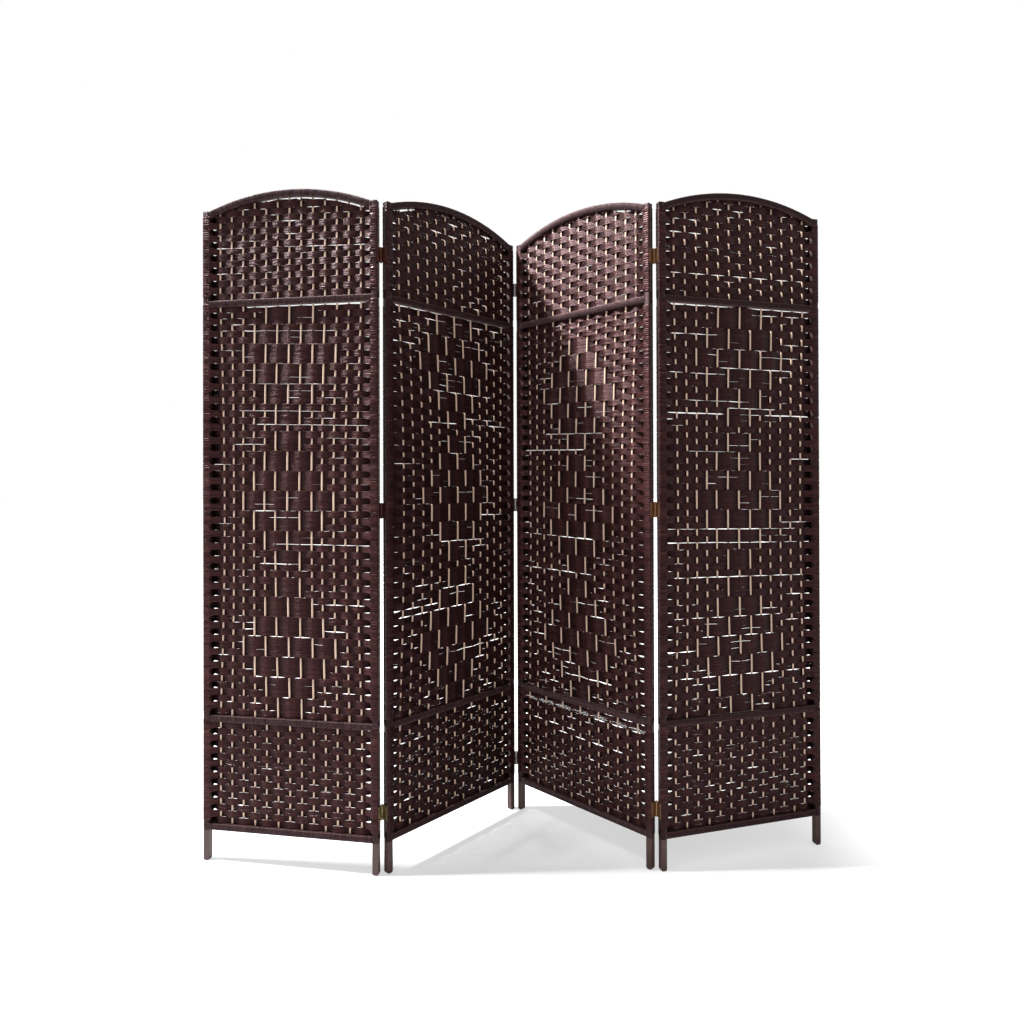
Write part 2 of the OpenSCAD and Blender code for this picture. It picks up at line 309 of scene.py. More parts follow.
@dataclass(frozen=True)
class StickFinish(Finish):
    """Bare pale wood, split thin, with grain along its height."""

    name: str = "stick_wood"
    pale: Colour = (0.57, 0.415, 0.315)
    warm: Colour = (0.43, 0.275, 0.195)
    grain_scale: Scale = (14.0, 1900.0, 60.0)
    band_scale: Scale = (5.0, 60.0, 30.0)

    def values(self, sheet: NodeSheet) -> dict[str, Any]:
        """Works out the shader's values.

        Args:
            sheet: the material's nodes.

        Returns:
            A value or a Signal for each socket that isn't left alone.
        """
        lay = sheet.lay()
        grain = sheet.noise(sheet.stretched(lay, self.grain_scale), 4.0, 0.6)
        bands = sheet.noise(sheet.stretched(lay, self.band_scale), 2.0)
        warmth = grain * 0.55 + bands * 0.35 + sheet.height(lay) * 0.4 - 0.15
        return {
            "Base Color": sheet.mix(warmth, self.pale, self.warm),
            "Roughness": 0.50 + 0.2 * grain,
            "Normal": sheet.bump(grain, 0.00012, 0.5),
        }


@dataclass(frozen=True)
class PostFinish(Finish):
    """Natural wood whose legs, below the cord, are stained dark brown and a little worn."""

    name: str = "post_wood"
    natural: Colour = (0.036, 0.016, 0.013)
    stain: Colour = (0.040, 0.017, 0.014)
    worn: Colour = (0.095, 0.045, 0.032)
    stain_top: float = 0.098
    stain_edge: float = 0.002
    ragged: float = 0.004
    grain_scale: Scale = (260.0, 260.0, 9.0)
    wear_scale: Scale = (60.0, 60.0, 35.0)

    def values(self, sheet: NodeSheet) -> dict[str, Any]:
        """Works out the shader's values.

        Args:
            sheet: the material's nodes.

        Returns:
            A value or a Signal for each socket that isn't left alone.
        """
        place = sheet.place()
        grain = sheet.noise(sheet.stretched(place, self.grain_scale), 5.0, 0.62)
        wear = sheet.noise(sheet.stretched(place, self.wear_scale), 5.0, 0.7)
        stained = sheet.mix(wear.above(0.50, 0.72) * 0.8 + grain * 0.2, self.stain, self.worn)
        natural = sheet.mix(grain, self.natural, [value * 0.6 for value in self.natural])
        edge = sheet.height(place) + grain * self.ragged
        bare = edge.above(self.stain_top, self.stain_top + self.stain_edge)
        return {
            "Base Color": sheet.mix(bare, stained, natural),
            "Roughness": 0.38 + 0.22 * grain,
            "Normal": sheet.bump(grain, 0.0002, 0.45),
        }


@dataclass(frozen=True)
class RailFinish(Finish):
    """Natural wood with its grain along the rail."""

    name: str = "rail_wood"
    pale: Colour = (0.42, 0.25, 0.15)
    deep: Colour = (0.27, 0.15, 0.085)
    grain_scale: Scale = (12.0, 12.0, 260.0)

    def values(self, sheet: NodeSheet) -> dict[str, Any]:
        """Works out the shader's values.

        Args:
            sheet: the material's nodes.

        Returns:
            A value or a Signal for each socket that isn't left alone.
        """
        grain = sheet.noise(sheet.stretched(sheet.place(), self.grain_scale), 5.0, 0.62)
        return {
            "Base Color": sheet.mix(grain, self.pale, self.deep),
            "Roughness": 0.55 + 0.2 * grain,
            "Normal": sheet.bump(grain, 0.0002, 0.45),
        }


@dataclass(frozen=True)
class BrassFinish(Finish):
    """Plated brass, dull in patches, with each hinge of a fold in its own colour: the first fold's
    middle and high hinges are darker than its low one.

    The low, middle and high hinge blend into each other between the heights that follow.
    """

    low: Colour
    middle: Colour
    high: Colour
    tarnish: Colour
    spread: float
    above_low: tuple[float, float] = (0.5, 0.6)
    above_middle: tuple[float, float] = (1.2, 1.3)
    cloud_scale: Scale = (160.0, 160.0, 110.0)
    scratch_scale: Scale = (900.0, 900.0, 60.0)

    def values(self, sheet: NodeSheet) -> dict[str, Any]:
        """Works out the shader's values.

        Args:
            sheet: the material's nodes.

        Returns:
            A value or a Signal for each socket that isn't left alone.
        """
        place = sheet.place()
        clouds = sheet.noise(sheet.stretched(place, self.cloud_scale), 4.0, 0.6)
        scratches = sheet.noise(sheet.stretched(place, self.scratch_scale), 2.0)
        dull = clouds.above(0.62 - self.spread, 0.72 - 0.5 * self.spread)
        height = sheet.height(place)
        upper = sheet.mix(height.above(*self.above_middle), self.middle, self.high)
        bright = sheet.mix(height.above(*self.above_low), self.low, upper)
        return {
            "Base Color": sheet.mix(dull, bright, self.tarnish),
            "Metallic": 1.0 - 0.45 * dull,
            "Roughness": 0.34 + 0.25 * dull + 0.12 * scratches,
            "Normal": sheet.bump(scratches, 0.0001, 0.25),
        }


@dataclass
class Finishes:
    """The materials that the pieces share."""

    cord: bpy.types.Material
    wound: bpy.types.Material
    sticks: bpy.types.Material
    posts: bpy.types.Material
    rails: bpy.types.Material
    brasses: list[bpy.types.Material]

    @classmethod
    def make(cls) -> "Finishes":
        """Builds every material once.

        Returns:
            The materials.
        """
        olive, steel = (0.22, 0.18, 0.09), (0.42, 0.36, 0.37)
        red_brown, red_brown_dark = (0.15, 0.06, 0.035), (0.05, 0.022, 0.018)
        brown, brown_dark = (0.28, 0.16, 0.09), (0.10, 0.05, 0.03)
        return cls(
            cord=CordFinish().make(),
            # Partly painted light: the wound cord's greyer pale end, with the third panel's high
            # wound tone, gives that panel's lamp-lit windings their grey look.
            wound=CordFinish(
                "wound_cord", pale=(0.082, 0.050, 0.052), sheen=(1.0, 0.52, 0.58), gloss=0.20
            ).make(),
            sticks=StickFinish().make(),
            posts=PostFinish().make(),
            rails=RailFinish().make(),
            brasses=[
                BrassFinish("brass_1", olive, (0.11, 0.045, 0.040), red_brown, red_brown_dark, 0.10).make(),
                BrassFinish("brass_2", steel, steel, steel, (0.08, 0.05, 0.035), 0.10).make(),
                BrassFinish("brass_3", (0.24, 0.15, 0.08), brown, brown, brown_dark, 0.06).make(),
            ],
        )


def dress(node: str, material: bpy.types.Material) -> None:
    """Gives a CAD node its finish.

    Args:
        node: the node's name.
        material: its finish.
    """
    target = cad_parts[node]
    if not target.material_slots:
        target.data.materials.append(material)
    for slot in target.material_slots:
        slot.material = material


def mesh_points(node: str) -> np.ndarray:
    """Reads the corner points of a CAD node's mesh.

    Args:
        node: the node's name.

    Returns:
        The points, as an (n, 3) array.
    """
    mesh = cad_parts[node].data
    points = np.empty(len(mesh.vertices) * 3)
    mesh.vertices.foreach_get("co", points)
    return points.reshape(-1, 3)


@dataclass(frozen=True)
class PanelPlace:
    """Where a panel stands in the row frame."""

    x: float
    y: float
    heading: float

    @classmethod
    def of(cls, panel: int) -> "PanelPlace":
        """Finds a panel's place from its bottom rail, whose middle is the panel's.

        Args:
            panel: the panel's number.

        Returns:
            Its place.
        """
        flat = mesh_points(f"panel_{panel}_bottom_rail")[:, :2]
        axes = np.linalg.svd(flat - flat.mean(axis=0), full_matrices=False)[2]
        along = axes[0] * np.sign(axes[0][0])
        across = np.array((-along[1], along[0]))
        middle = sum(
            axis * ((flat @ axis).min() + (flat @ axis).max()) / 2 for axis in (along, across)
        )
        return cls(middle[0], middle[1], math.atan2(along[1], along[0]))

    def matrix(self) -> Matrix:
        """From the panel's own frame to the row frame."""
        return Matrix.Translation((self.x, self.y, 0.0)) @ Matrix.Rotation(self.heading, 4, "Z")

    def local_box(self, node: str) -> tuple[np.ndarray, np.ndarray]:
        """Measures a CAD node in the panel's own frame.

        Args:
            node: the node's name.

        Returns:
            Its lowest and highest corner.
        """
        x, y, z = (mesh_points(node) - (self.x, self.y, 0.0)).T
        cos, sin = math.cos(self.heading), math.sin(self.heading)
        turned = np.column_stack((x * cos + y * sin, y * cos - x * sin, z))
        return turned.min(axis=0), turned.max(axis=0)


@dataclass(frozen=True)
class PanelSizes:
    """The sizes of one panel, read from its CAD nodes, and the few that they don't give.

    The bow lists how many millimetres some of the sticks, by number, stand to the right of their
    straight line half way up the tall field. The sticks between them follow.
    """

    place: PanelPlace
    post_w: float
    post_h: float
    frame_w: float
    crest: float
    bottom_rail: tuple[float, float]
    lower_rail: tuple[float, float]
    upper_rail: tuple[float, float]
    bow: tuple[tuple[int, float], ...]
    cord_t: float = 1.5 * MM
    stick_count: int = 13
    stick_edge: float = 30.5 * MM
    stick_w: float = 5.2 * MM
    stick_t: float = 3.2 * MM
    stick_seat: float = 7.0 * MM
    corner_r: float = 1.5 * MM

    @classmethod
    def of(cls, panel: int, bow: tuple[tuple[int, float], ...]) -> "PanelSizes":
        """Measures a panel's nodes.

        Args:
            panel: the panel's number.
            bow: the bow of its sticks.

        Returns:
            Its sizes.
        """
        place = PanelPlace.of(panel)
        left = place.local_box(f"panel_{panel}_left_post")
        right = place.local_box(f"panel_{panel}_right_post")
        rails = [
            tuple(corner[2] for corner in place.local_box(f"panel_{panel}_{name}_rail"))
            for name in ("bottom", "lower", "upper")
        ]
        return cls(
            place=place,
            post_w=left[1][0] - left[0][0],
            post_h=left[1][2],
            frame_w=right[1][0] - left[0][0],
            crest=place.local_box(f"panel_{panel}_cord_wraps")[1][2],
            bottom_rail=rails[0],
            lower_rail=rails[1],
            upper_rail=rails[2],
            bow=bow,
        )

    @property
    def inner_w(self) -> float:
        """The width between the posts."""
        return self.frame_w - 2 * self.post_w

    @property
    def rail_h(self) -> float:
        """The height of a rail's wood."""
        return self.bottom_rail[1] - self.bottom_rail[0]

    @property
    def arch_r(self) -> float:
        """The radius of the wound arch's top."""
        rise = self.crest - self.post_h
        return ((self.inner_w / 2) ** 2 + rise**2) / (2 * rise)

    @property
    def arch_z(self) -> float:
        """The height of the arch's centre."""
        return self.crest - self.arch_r

    def arch_height(self, radius: float, x: np.ndarray | float) -> np.ndarray:
        """The height of an arc about the arch's centre at a place x, held level past the posts."""
        return self.arch_z + np.sqrt(radius**2 - np.minimum(np.abs(x), self.inner_w / 2) ** 2)

    def under_arch(self, x: np.ndarray | float) -> np.ndarray:
        """The height of the wound arch's underside."""
        return self.arch_height(self.arch_r - self.rail_h - 2 * self.cord_t, x)

    def columns(self, z: float) -> np.ndarray:
        """Finds the posts and sticks at a height.

        Args:
            z: the height.

        Returns:
            The places of the left post's inner face, the sticks and the right post's inner face.
        """
        reach = self.inner_w / 2
        sticks = np.linspace(-reach + self.stick_edge, reach - self.stick_edge, self.stick_count)
        rise = (z - self.lower_rail[1]) / (self.upper_rail[0] - self.lower_rail[1])
        full = np.interp(np.arange(1, self.stick_count + 1), *zip(*self.bow)) * MM
        sticks += full * math.sin(math.pi * min(max(rise, 0.0), 1.0))
        return np.concatenate(((-reach,), sticks, (reach,)))


def smoothstep(value: np.ndarray | float) -> np.ndarray:
    """0 below 0, 1 above 1 and a smooth rise between."""
    t = np.clip(value, 0.0, 1.0)
    return t * t * (3.0 - 2.0 * t)


class Wander:
    """A smooth, seeded wandering about zero: a few sine waves of random length and phase."""

    WAVES = 4
    SLOWEST = 0.7
    WEAKEST = 0.6

    def __init__(self, rng: np.random.Generator, reach: float, length: float) -> None:
        """Draws the waves.

        Args:
            rng: the random numbers to draw from.
            reach: about how far it wanders.
            length: about how long its longest wave is.
        """
        order = np.arange(self.WAVES)
        self.rates = 2.0 * math.pi / length * (self.SLOWEST + order + rng.random(self.WAVES))
        self.phases = rng.random(self.WAVES) * 2.0 * math.pi
        strengths = self.WEAKEST + (1.0 - self.WEAKEST) * rng.random(self.WAVES)
        self.sizes = reach * strengths / np.sqrt(1.0 + order)

    def __call__(self, at: np.ndarray) -> np.ndarray:
        """The wander at each place."""
        waves = np.sin(np.multiply.outer(at, self.rates) + self.phases)
        return (waves * self.sizes).sum(axis=-1)


class CordMesh:
    """Gathers swept cords, sleeves and sticks as one mesh, with the lay of each point."""

    # Painted shade: how much darker a cord's face is made where it looks into a crevice, and the
    # depth over which that shade fades in.
    CREVICE_SHADE = 1.2
    CREVICE_SHADE_DEPTH = 3.0 * MM
    FLAT = np.array(
        ((0.5, 0.0), (0.37, 0.5), (-0.37, 0.5), (-0.5, 0.0), (-0.37, -0.5), (0.37, -0.5))
    )

    def __init__(self) -> None:
        """Starts an empty mesh."""
        self.points: list[np.ndarray] = []
        self.lays: list[np.ndarray] = []
        self.quads: list[np.ndarray] = []
        self.count = 0

    def _keep(self, rings: np.ndarray, lays: np.ndarray) -> None:
        """Adds rings of points and skins them.

        Args:
            rings: the rings, as an (m, n, 3) array.
            lays: the lay of each point, as an array of the same shape.
        """
        self.points.append(rings.reshape(-1, 3))
        self.lays.append(lays.reshape(-1, 3))
        self.quads.append(self._skin(*rings.shape[:2]) + self.count)
        self.count += len(self.points[-1])

    @staticmethod
    def _skin(rings: int, sides: int) -> np.ndarray:
        """Joins rings of points one to the next, with both ends capped.

        Args:
            rings: how many rings there are.
            sides: how many points are in each.

        Returns:
            The quads, by point number.
        """
        ring = np.arange(rings - 1)[:, None]
        side = np.arange(sides)[None, :]
        beside = (side + 1) % sides
        corners = (
            ring * sides + side,
            (ring + 1) * sides + side,
            (ring + 1) * sides + beside,
            ring * sides + beside,
        )
        skin = np.stack(np.broadcast_arrays(*corners), axis=-1).reshape(-1, 4)
        fans = np.array([(0, k, k + 1, k + 2) for k in range(1, sides - 2, 2)])
        return np.concatenate((skin, fans, fans[:, ::-1] + (rings - 1) * sides))

    def sweep(
        self,
        path: np.ndarray,
        side: Sequence[float],
        width: np.ndarray | float,
        thick: np.ndarray | float,
        tone: float,
        lean: np.ndarray | float = 0.0,
        section: np.ndarray = FLAT,
        tuck: np.ndarray | float = 0.0,
    ) -> None:
        """Sweeps a section along an open path.

        Args:
            path: the points of the cord's middle, as an (n, 3) array.
            side: the direction of the cord's width, before it is squared to the path.
            width: the cord's width at each point.
            thick: its thickness at each point.
            tone: how pale it is, from 0 to 1.
            lean: how far it is rolled about its path at each point, in radians.
            section: the outline, in widths and thicknesses.
            tuck: how far behind the panel's middle each point is. A face looking at the middle is
                in a crevice, and painted shade darkens its tone there.
        """
        tangent = np.gradient(path, axis=0)
        tangent /= np.linalg.norm(tangent, axis=1, keepdims=True)
        out = np.cross(side, tangent)
        out /= np.linalg.norm(out, axis=1, keepdims=True)
        wide = np.cross(tangent, out)
        lean = np.broadcast_to(lean, len(path))[:, None]
        wide, out = (
            np.cos(lean) * wide + np.sin(lean) * out,
            np.cos(lean) * out - np.sin(lean) * wide,
        )
        width = np.broadcast_to(width, len(path))[:, None, None]
        thick = np.broadcast_to(thick, len(path))[:, None, None]
        u, v = section[None, :, :1], section[None, :, 1:]
        rings = path[:, None] + u * width * wide[:, None] + v * thick * out[:, None]
        run = np.concatenate(((0.0,), np.cumsum(np.linalg.norm(np.diff(path, axis=0), axis=1))))
        lays = np.empty_like(rings)
        lays[..., 0] = run[:, None]
        lays[..., 1] = (u * width)[..., 0]
        # Painted shade: faces that look towards the panel's middle, into a crevice, get a darker
        # tone.
        depth = -2 * v[..., 0] * np.broadcast_to(tuck, len(path))[:, None]
        lays[..., 2] = tone - self.CREVICE_SHADE * smoothstep(0.5 + depth / self.CREVICE_SHADE_DEPTH)
        self._keep(rings, lays)

    def sleeve(self, rings: np.ndarray, across: np.ndarray, tones: np.ndarray) -> None:
        """Skins a sleeve of wound cord.

        Args:
            rings: the rings of points from one end to the other, as an (m, n, 3) array.
            across: each ring's place in its winding's width.
            tones: each ring's tone.
        """
        around = np.linalg.norm(np.diff(rings[0], axis=0), axis=1)
        lays = np.empty_like(rings)
        lays[..., 0] = np.concatenate(((0.0,), np.cumsum(around)))
        lays[..., 1] = across[:, None]
        lays[..., 2] = tones[:, None]
        self._keep(rings, lays)

    def build(
        self, name: str, place: PanelPlace, material: bpy.types.Material
    ) -> bpy.types.Object:
        """Makes the Blender object.

        Args:
            name: the piece's name.
            place: where its panel stands.
            material: its finish.

        Returns:
            The object, with its mesh in the panel's own frame.
        """
        points, quads = np.concatenate(self.points), np.concatenate(self.quads)
        mesh = bpy.data.meshes.new(name)
        mesh.vertices.add(len(points))
        mesh.vertices.foreach_set("co", points.ravel())
        mesh.loops.add(quads.size)
        mesh.loops.foreach_set("vertex_index", quads.ravel())
        mesh.polygons.add(len(quads))
        mesh.polygons.foreach_set("loop_start", np.arange(0, quads.size, 4))
        lay = mesh.attributes.new("lay", "FLOAT_VECTOR", "POINT")
        lay.data.foreach_set("vector", np.concatenate(self.lays).ravel())
        mesh.update(calc_edges=True)
        mesh.shade_smooth()
        mesh.materials.append(material)
        piece = bpy.data.objects.new(name, mesh)
        piece.matrix_world = place.matrix()
        bpy.context.scene.collection.objects.link(piece)
        return piece


class WeaveField(Enum):
    """The three fields of a panel, by the CAD node that each replaces."""

    LOWER = "lower_weave"
    MIDDLE = "middle_weave"
    UPPER = "upper_weave"


@dataclass(frozen=True)
class Slit:
    """A thin opening in the weave, in millimetres along the panel and in height.

    The line is the number of rows below the opening. Under the arch it has no meaning.
    """

    line: int
    start: float
    end: float
    height: float

    def open_at(self, x: np.ndarray, longest_taper: float) -> np.ndarray:
        """Finds how open it is along the panel.

        Args:
            x: places along the panel, in metres.
            longest_taper: the longest that either end may be, in metres.

        Returns:
            1 within the opening and 0 outside, with smooth tapers.
        """
        start, end = self.start * MM, self.end * MM
        taper = min(longest_taper, (end - start) / 3)
        return smoothstep((x - start) / taper) * smoothstep((end - x) / taper)


@dataclass(frozen=True)
class Drift:
    """How far a line between rows was beaten off its even place, in millimetres, and its slope."""

    line: int
    shift: float = 0.0
    slope: float = 0.0


@dataclass(frozen=True)
class Character:
    """What is particular to one field of one panel."""

    drifts: tuple[Drift, ...] = (Drift(0),)
    slits: tuple[Slit, ...] = ()
    arch_slits: tuple[Slit, ...] = ()


@dataclass
class Weave:
    """The rows of one field, each of a few flat cords side by side.

    Odd rows pass in front of both posts and even rows behind them. A row spreads to twice its
    height where it turns round a post, and narrows again in a round opening beside it.
    """

    sizes: PanelSizes
    kind: WeaveField
    bottom: float
    row_h: float
    rows: int
    rng: np.random.Generator
    character: Character
    tone: float
    swell: tuple[float, float]
    cords: int = 6
    overlap: float = 0.25 * MM
    field_t: float = 1.2 * MM
    post_t: float = 1.0 * MM
    stick_reach: float = 3.0 * MM
    post_lift: float = 1.05 * MM
    fan_hold: float = 1.0 * MM
    fan_length: float = 10.0 * MM
    fan_stations: tuple[float, ...] = (0.0, 1.0, 1.4, 2.3, 3.9, 6.3, 9.5, 13.5, 19.0, 26.0)
    bay_stations: tuple[float, ...] = (0.0, 0.15, 0.37, 0.63, 0.85)
    round_turn: float = 0.965
    swell_reach: float = 12.0 * MM
    swell_fade: float = 1.2 * MM
    slit_taper: float = 8.0 * MM
    chance_height: tuple[float, float] = (-0.4, 1.05)
    chance_counts: tuple[int, int, int] = (1, 4, 2)
    chance_end: float = 3.0
    step_chance: float = 0.75
    line_overlap: float = 0.3 * MM
    line_wander: tuple[float, float] = (0.22 * MM, 420 * MM)
    cord_wander: tuple[float, float] = (0.06 * MM, 160 * MM)
    depth_wander: tuple[float, float] = (0.10 * MM, 90 * MM)
    lean: float = 0.10
    lean_wander: tuple[float, float] = (0.04, 120 * MM)
    tone_spread: float = 0.28
    parting_reach: float = 8.0 * MM
    diamond_half: int = 4
    diamond_count: int = 3
    block_rows: int = 3
    arch_tuck: float = 3.0 * MM
    arch_sight: float = 5.0 * MM
    arch_bend: float = 1.5 * MM
    arch_follow: float = 3.5 * MM
    arch_taper: float = 15.0 * MM
    post_top_gap: float = 3.0 * MM
    middle_parts: int = 3
    wanders: list[Wander] = field(init=False)
    slits: tuple[Slit, ...] = field(init=False)
    swells: np.ndarray = field(init=False)

    def __post_init__(self) -> None:
        """Draws each line's wander and chance opening, and each row's swelling at the sticks."""
        self.wanders = [Wander(self.rng, *self.line_wander) for _ in range(self.rows + 1)]
        self.slits = (*self.chance_slits(), *self.character.slits)
        self.swells = self.rng.uniform(*self.swell, (self.rows, self.sizes.stick_count, 2)) * MM
        for row in range(self.rows):
            for column in range(1, self.sizes.stick_count + 1):
                for side, beside in ((0, row - 1), (1, row + 1)):
                    if self.is_behind(row, column) == self.is_behind(beside, column):
                        self.swells[row, column - 1, side] = 0.0

    def chance_slits(self) -> Iterator[Slit]:
        """Draws small openings from one stick to another, most of them along the diamonds' steps.

        Yields:
            Each opening.
        """
        last_column = self.sizes.stick_count + 1
        middle = last_column // 2
        count = self.chance_counts[list(WeaveField).index(self.kind)]
        for line in range(1, self.rows):
            spans = [
                (first, min(first + self.rng.integers(1, 3), last_column))
                for first in self.rng.integers(0, self.sizes.stick_count, count)
            ]
            half = self.diamond_reach(line)
            if half and self.rng.random() < self.step_chance:
                first = middle - half + self.rng.integers(-1, 3)
                spans.append((first, middle + half + self.rng.integers(-2, 2)))
            for first, last in spans:
                height = self.rng.uniform(*self.chance_height)
                if height > self.chance_height[1] / 3:
                    places = self.columns(line)[[first, last]] / MM
                    yield Slit(
                        line, places[0] - self.chance_end, places[1] + self.chance_end, height
                    )

    @property
    def period(self) -> int:
        """How many rows a diamond and the row above it take."""
        return self.block_rows * (2 * self.diamond_half - 1) + 1

    def diamond_reach(self, line: int) -> int:
        """Finds how wide a diamond is at a line.

        Args:
            line: the number of rows below the line.

        Returns:
            How many columns it reaches each way at one of its steps, or 0 elsewhere.
        """
        step = line % self.period
        if self.kind is not WeaveField.MIDDLE or step % self.block_rows:
            return 0
        return max(1, self.diamond_half - abs(step // self.block_rows - self.diamond_half))

    @property
    def top(self) -> float:
        """The height of the highest line."""
        return self.bottom + self.rows * self.row_h

    def columns(self, row: int) -> np.ndarray:
        """The places of the posts and sticks at a row's height."""
        return self.sizes.columns(self.bottom + (row + 0.5) * self.row_h)

    def is_behind(self, row: int, column: int) -> bool:
        """Tells whether a row passes behind a column, so that the column shows.

        Args:
            row: the row. It may be one past either end.
            column: the column, with 0 for the left post.

        Returns:
            Whether it does.
        """
        middle = (self.sizes.stick_count + 1) / 2
        plain = (row + column) % 2 == 0
        if self.kind is not WeaveField.MIDDLE or row < 0:
            return plain
        step = row % self.period
        inside = (
            row < self.diamond_count * self.period
            and step < self.period - 1
            and step % self.block_rows == 1
            and abs(column - middle)
            <= self.diamond_half - abs(step // self.block_rows - (self.diamond_half - 1))
        )
        return plain != inside

    def line(self, index: int, x: np.ndarray) -> np.ndarray:
        """The height of the line between two rows.

        Args:
            index: the number of rows below the line. It may be one past either end.
            x: places along the panel.

        Returns:
            The line's height at each place.
        """
        held = min(max(index, 0), self.rows)
        lines = [drift.line for drift in self.character.drifts]
        shift = np.interp(held, lines, [drift.shift for drift in self.character.drifts]) * MM
        slope = np.interp(held, lines, [drift.slope for drift in self.character.drifts])
        z = self.bottom + held * self.row_h + shift + slope * x
        if 0 < held < self.rows:
            z = z + self.wanders[held](x)
        return np.clip(z, self.bottom, self.top) + (index - held) * self.row_h

    def edge(self, row: int, side: int, x: np.ndarray) -> np.ndarray:
        """The height of a row's edge, with its slits and its swelling at the sticks.

        Args:
            row: the row.
            side: 0 for the row's lower edge and 1 for its upper one.
            x: places along the panel.

        Returns:
            The edge's height at each place.
        """
        index = row + side
        opening = np.full_like(x, -self.line_overlap)
        for slit in self.slits:
            if slit.line == index:
                opening += slit.height * MM * slit.open_at(x, self.slit_taper)
        share = 1.0 if index in (0, self.rows) else 0.5
        away = np.abs(x[:, None] - self.columns(row)[1:-1]) / self.swell_reach
        bulge = np.cos(np.minimum(away, 1.0) * math.pi / 2) ** 2
        swell = (self.swells[row, :, side] * bulge).sum(axis=1)
        swell *= np.clip(1 - (opening + self.line_overlap) / self.swell_fade, 0.0, 1.0)
        return self.line(index, x) + (1 - 2 * side) * (share * opening - swell)

    def fan(self, from_post: np.ndarray) -> np.ndarray:
        """How far a row has spread, from 0 to 1, at a distance from a post's inner face."""
        u = np.clip((from_post - self.fan_hold) / self.fan_length, 0.0, 1.0)
        return 1.0 - np.sqrt(1.0 - (1.0 - u) ** 2)

    def bays(self, row: int) -> tuple[np.ndarray, np.ndarray]:
        """Finds a row's path in plan between the posts.

        Args:
            row: the row.

        Returns:
            Its x and y at each station.
        """
        columns = self.columns(row)
        beside_post = np.array(self.fan_stations) * MM / self.sizes.stick_edge
        shares = [np.array(self.bay_stations)] * (len(columns) - 1)
        shares[0] = beside_post
        shares[-1] = np.concatenate(((0.0,), 1.0 - beside_post[::-1]))
        bay = np.repeat(np.arange(len(shares)), [len(share) for share in shares])
        share = np.concatenate(shares)
        post_y = self.sizes.post_w / 2 + self.post_lift
        ys = np.array(
            [
                (1 if self.is_behind(row, c) else -1)
                * (post_y if c in (0, len(columns) - 1) else self.stick_reach)
                for c in range(len(columns))
            ]
        )
        ease = np.arcsin(self.round_turn * np.cos(math.pi * share)) / math.asin(self.round_turn)
        x = columns[bay] + share * (columns[bay + 1] - columns[bay])
        y = (ys[bay] + ys[bay + 1]) / 2 + ease * (ys[bay] - ys[bay + 1]) / 2
        return x, y

    def turn(self, end: int, behind: bool) -> tuple[np.ndarray, np.ndarray]:
        """Finds a row's path in plan round the outer half of a post, from its face outwards.

        Args:
            end: -1 for the left post and 1 for the right one.
            behind: whether the row passes behind the post.

        Returns:
            Its x and y at each station.
        """
        sizes = self.sizes
        centre_x = sizes.frame_w / 2 - sizes.corner_r
        centre_y = sizes.post_w / 2 - sizes.corner_r
        bend = sizes.corner_r + self.post_lift
        angles = np.radians((90.0, 45.0, 0.0))
        middle = (sizes.frame_w - sizes.post_w) / 2
        x = np.concatenate(((middle,), centre_x + bend * np.cos(angles), (centre_x + bend,)))
        y = np.concatenate(((centre_y + bend,), centre_y + bend * np.sin(angles), (0.0,)))
        return end * x, (1 if behind else -1) * y

    def row_path(self, row: int) -> tuple[np.ndarray, np.ndarray]:
        """Finds a row's whole path in plan, from one post's outer side to the other's.

        Args:
            row: the row.

        Returns:
            Its x and y at each station.
        """
        last = self.sizes.stick_count + 1
        left = [a[::-1] for a in self.turn(-1, self.is_behind(row, 0))]
        right = self.turn(1, self.is_behind(row, last))
        return tuple(np.concatenate(parts) for parts in zip(left, self.bays(row), right))

    def parted(self, x: np.ndarray, z: np.ndarray) -> np.ndarray:
        """Moves a cord aside on the posts, at the slits that run over a post.

        Args:
            x: places along the panel.
            z: the cord's height at each.

        Returns:
            The cord's new heights.
        """
        reach = self.sizes.inner_w / 2
        on_post = np.abs(x) > reach
        held = np.clip(x, -reach, reach)
        for slit in self.slits:
            reached = on_post & (x > slit.start * MM) & (x < slit.end * MM)
            if abs(slit.start) > reach / MM or slit.end > reach / MM:
                off = z - self.line(slit.line, held)
                push = slit.height * MM * np.sign(off) * np.exp(-np.abs(off) / self.parting_reach)
                z = z + np.where(reached, push, 0.0)
        return z

    def arch_limit(self, x: np.ndarray) -> np.ndarray:
        """Finds how high a cord may lie: tucked into the arch's windings, or below an open slit.

        Args:
            x: places along the panel.

        Returns:
            The highest that it may be at each.
        """
        limit = self.sizes.under_arch(x) + self.arch_tuck
        for slit in self.character.arch_slits:
            drop = self.arch_tuck + self.arch_sight + slit.height * MM
            limit = limit - drop * slit.open_at(x, self.arch_taper)
        return limit

    def under_arch(self, x: np.ndarray, z: np.ndarray) -> tuple[np.ndarray, slice] | None:
        """Bends a cord's end down along the arch.

        Args:
            x: places along the panel.
            z: the cord's height at each.

        Returns:
            The cord's new heights and the stretch of it that is left, or None.
        """
        limit = self.arch_limit(x)
        bent = 0.5 * (z + limit - np.sqrt((z - limit) ** 2 + self.arch_bend**2))
        inside = np.abs(x) <= self.sizes.inner_w / 2
        free = np.where(
            inside, z - limit < self.arch_follow, z < self.sizes.post_h - self.post_top_gap
        )
        middle = len(x) // 2
        if not free[middle]:
            return None
        stops = np.flatnonzero(~free)
        start = max((stop + 1 for stop in stops if stop < middle), default=0)
        end = min((stop for stop in stops if stop > middle), default=len(x))
        return np.where(inside, bent, z), slice(start, end)

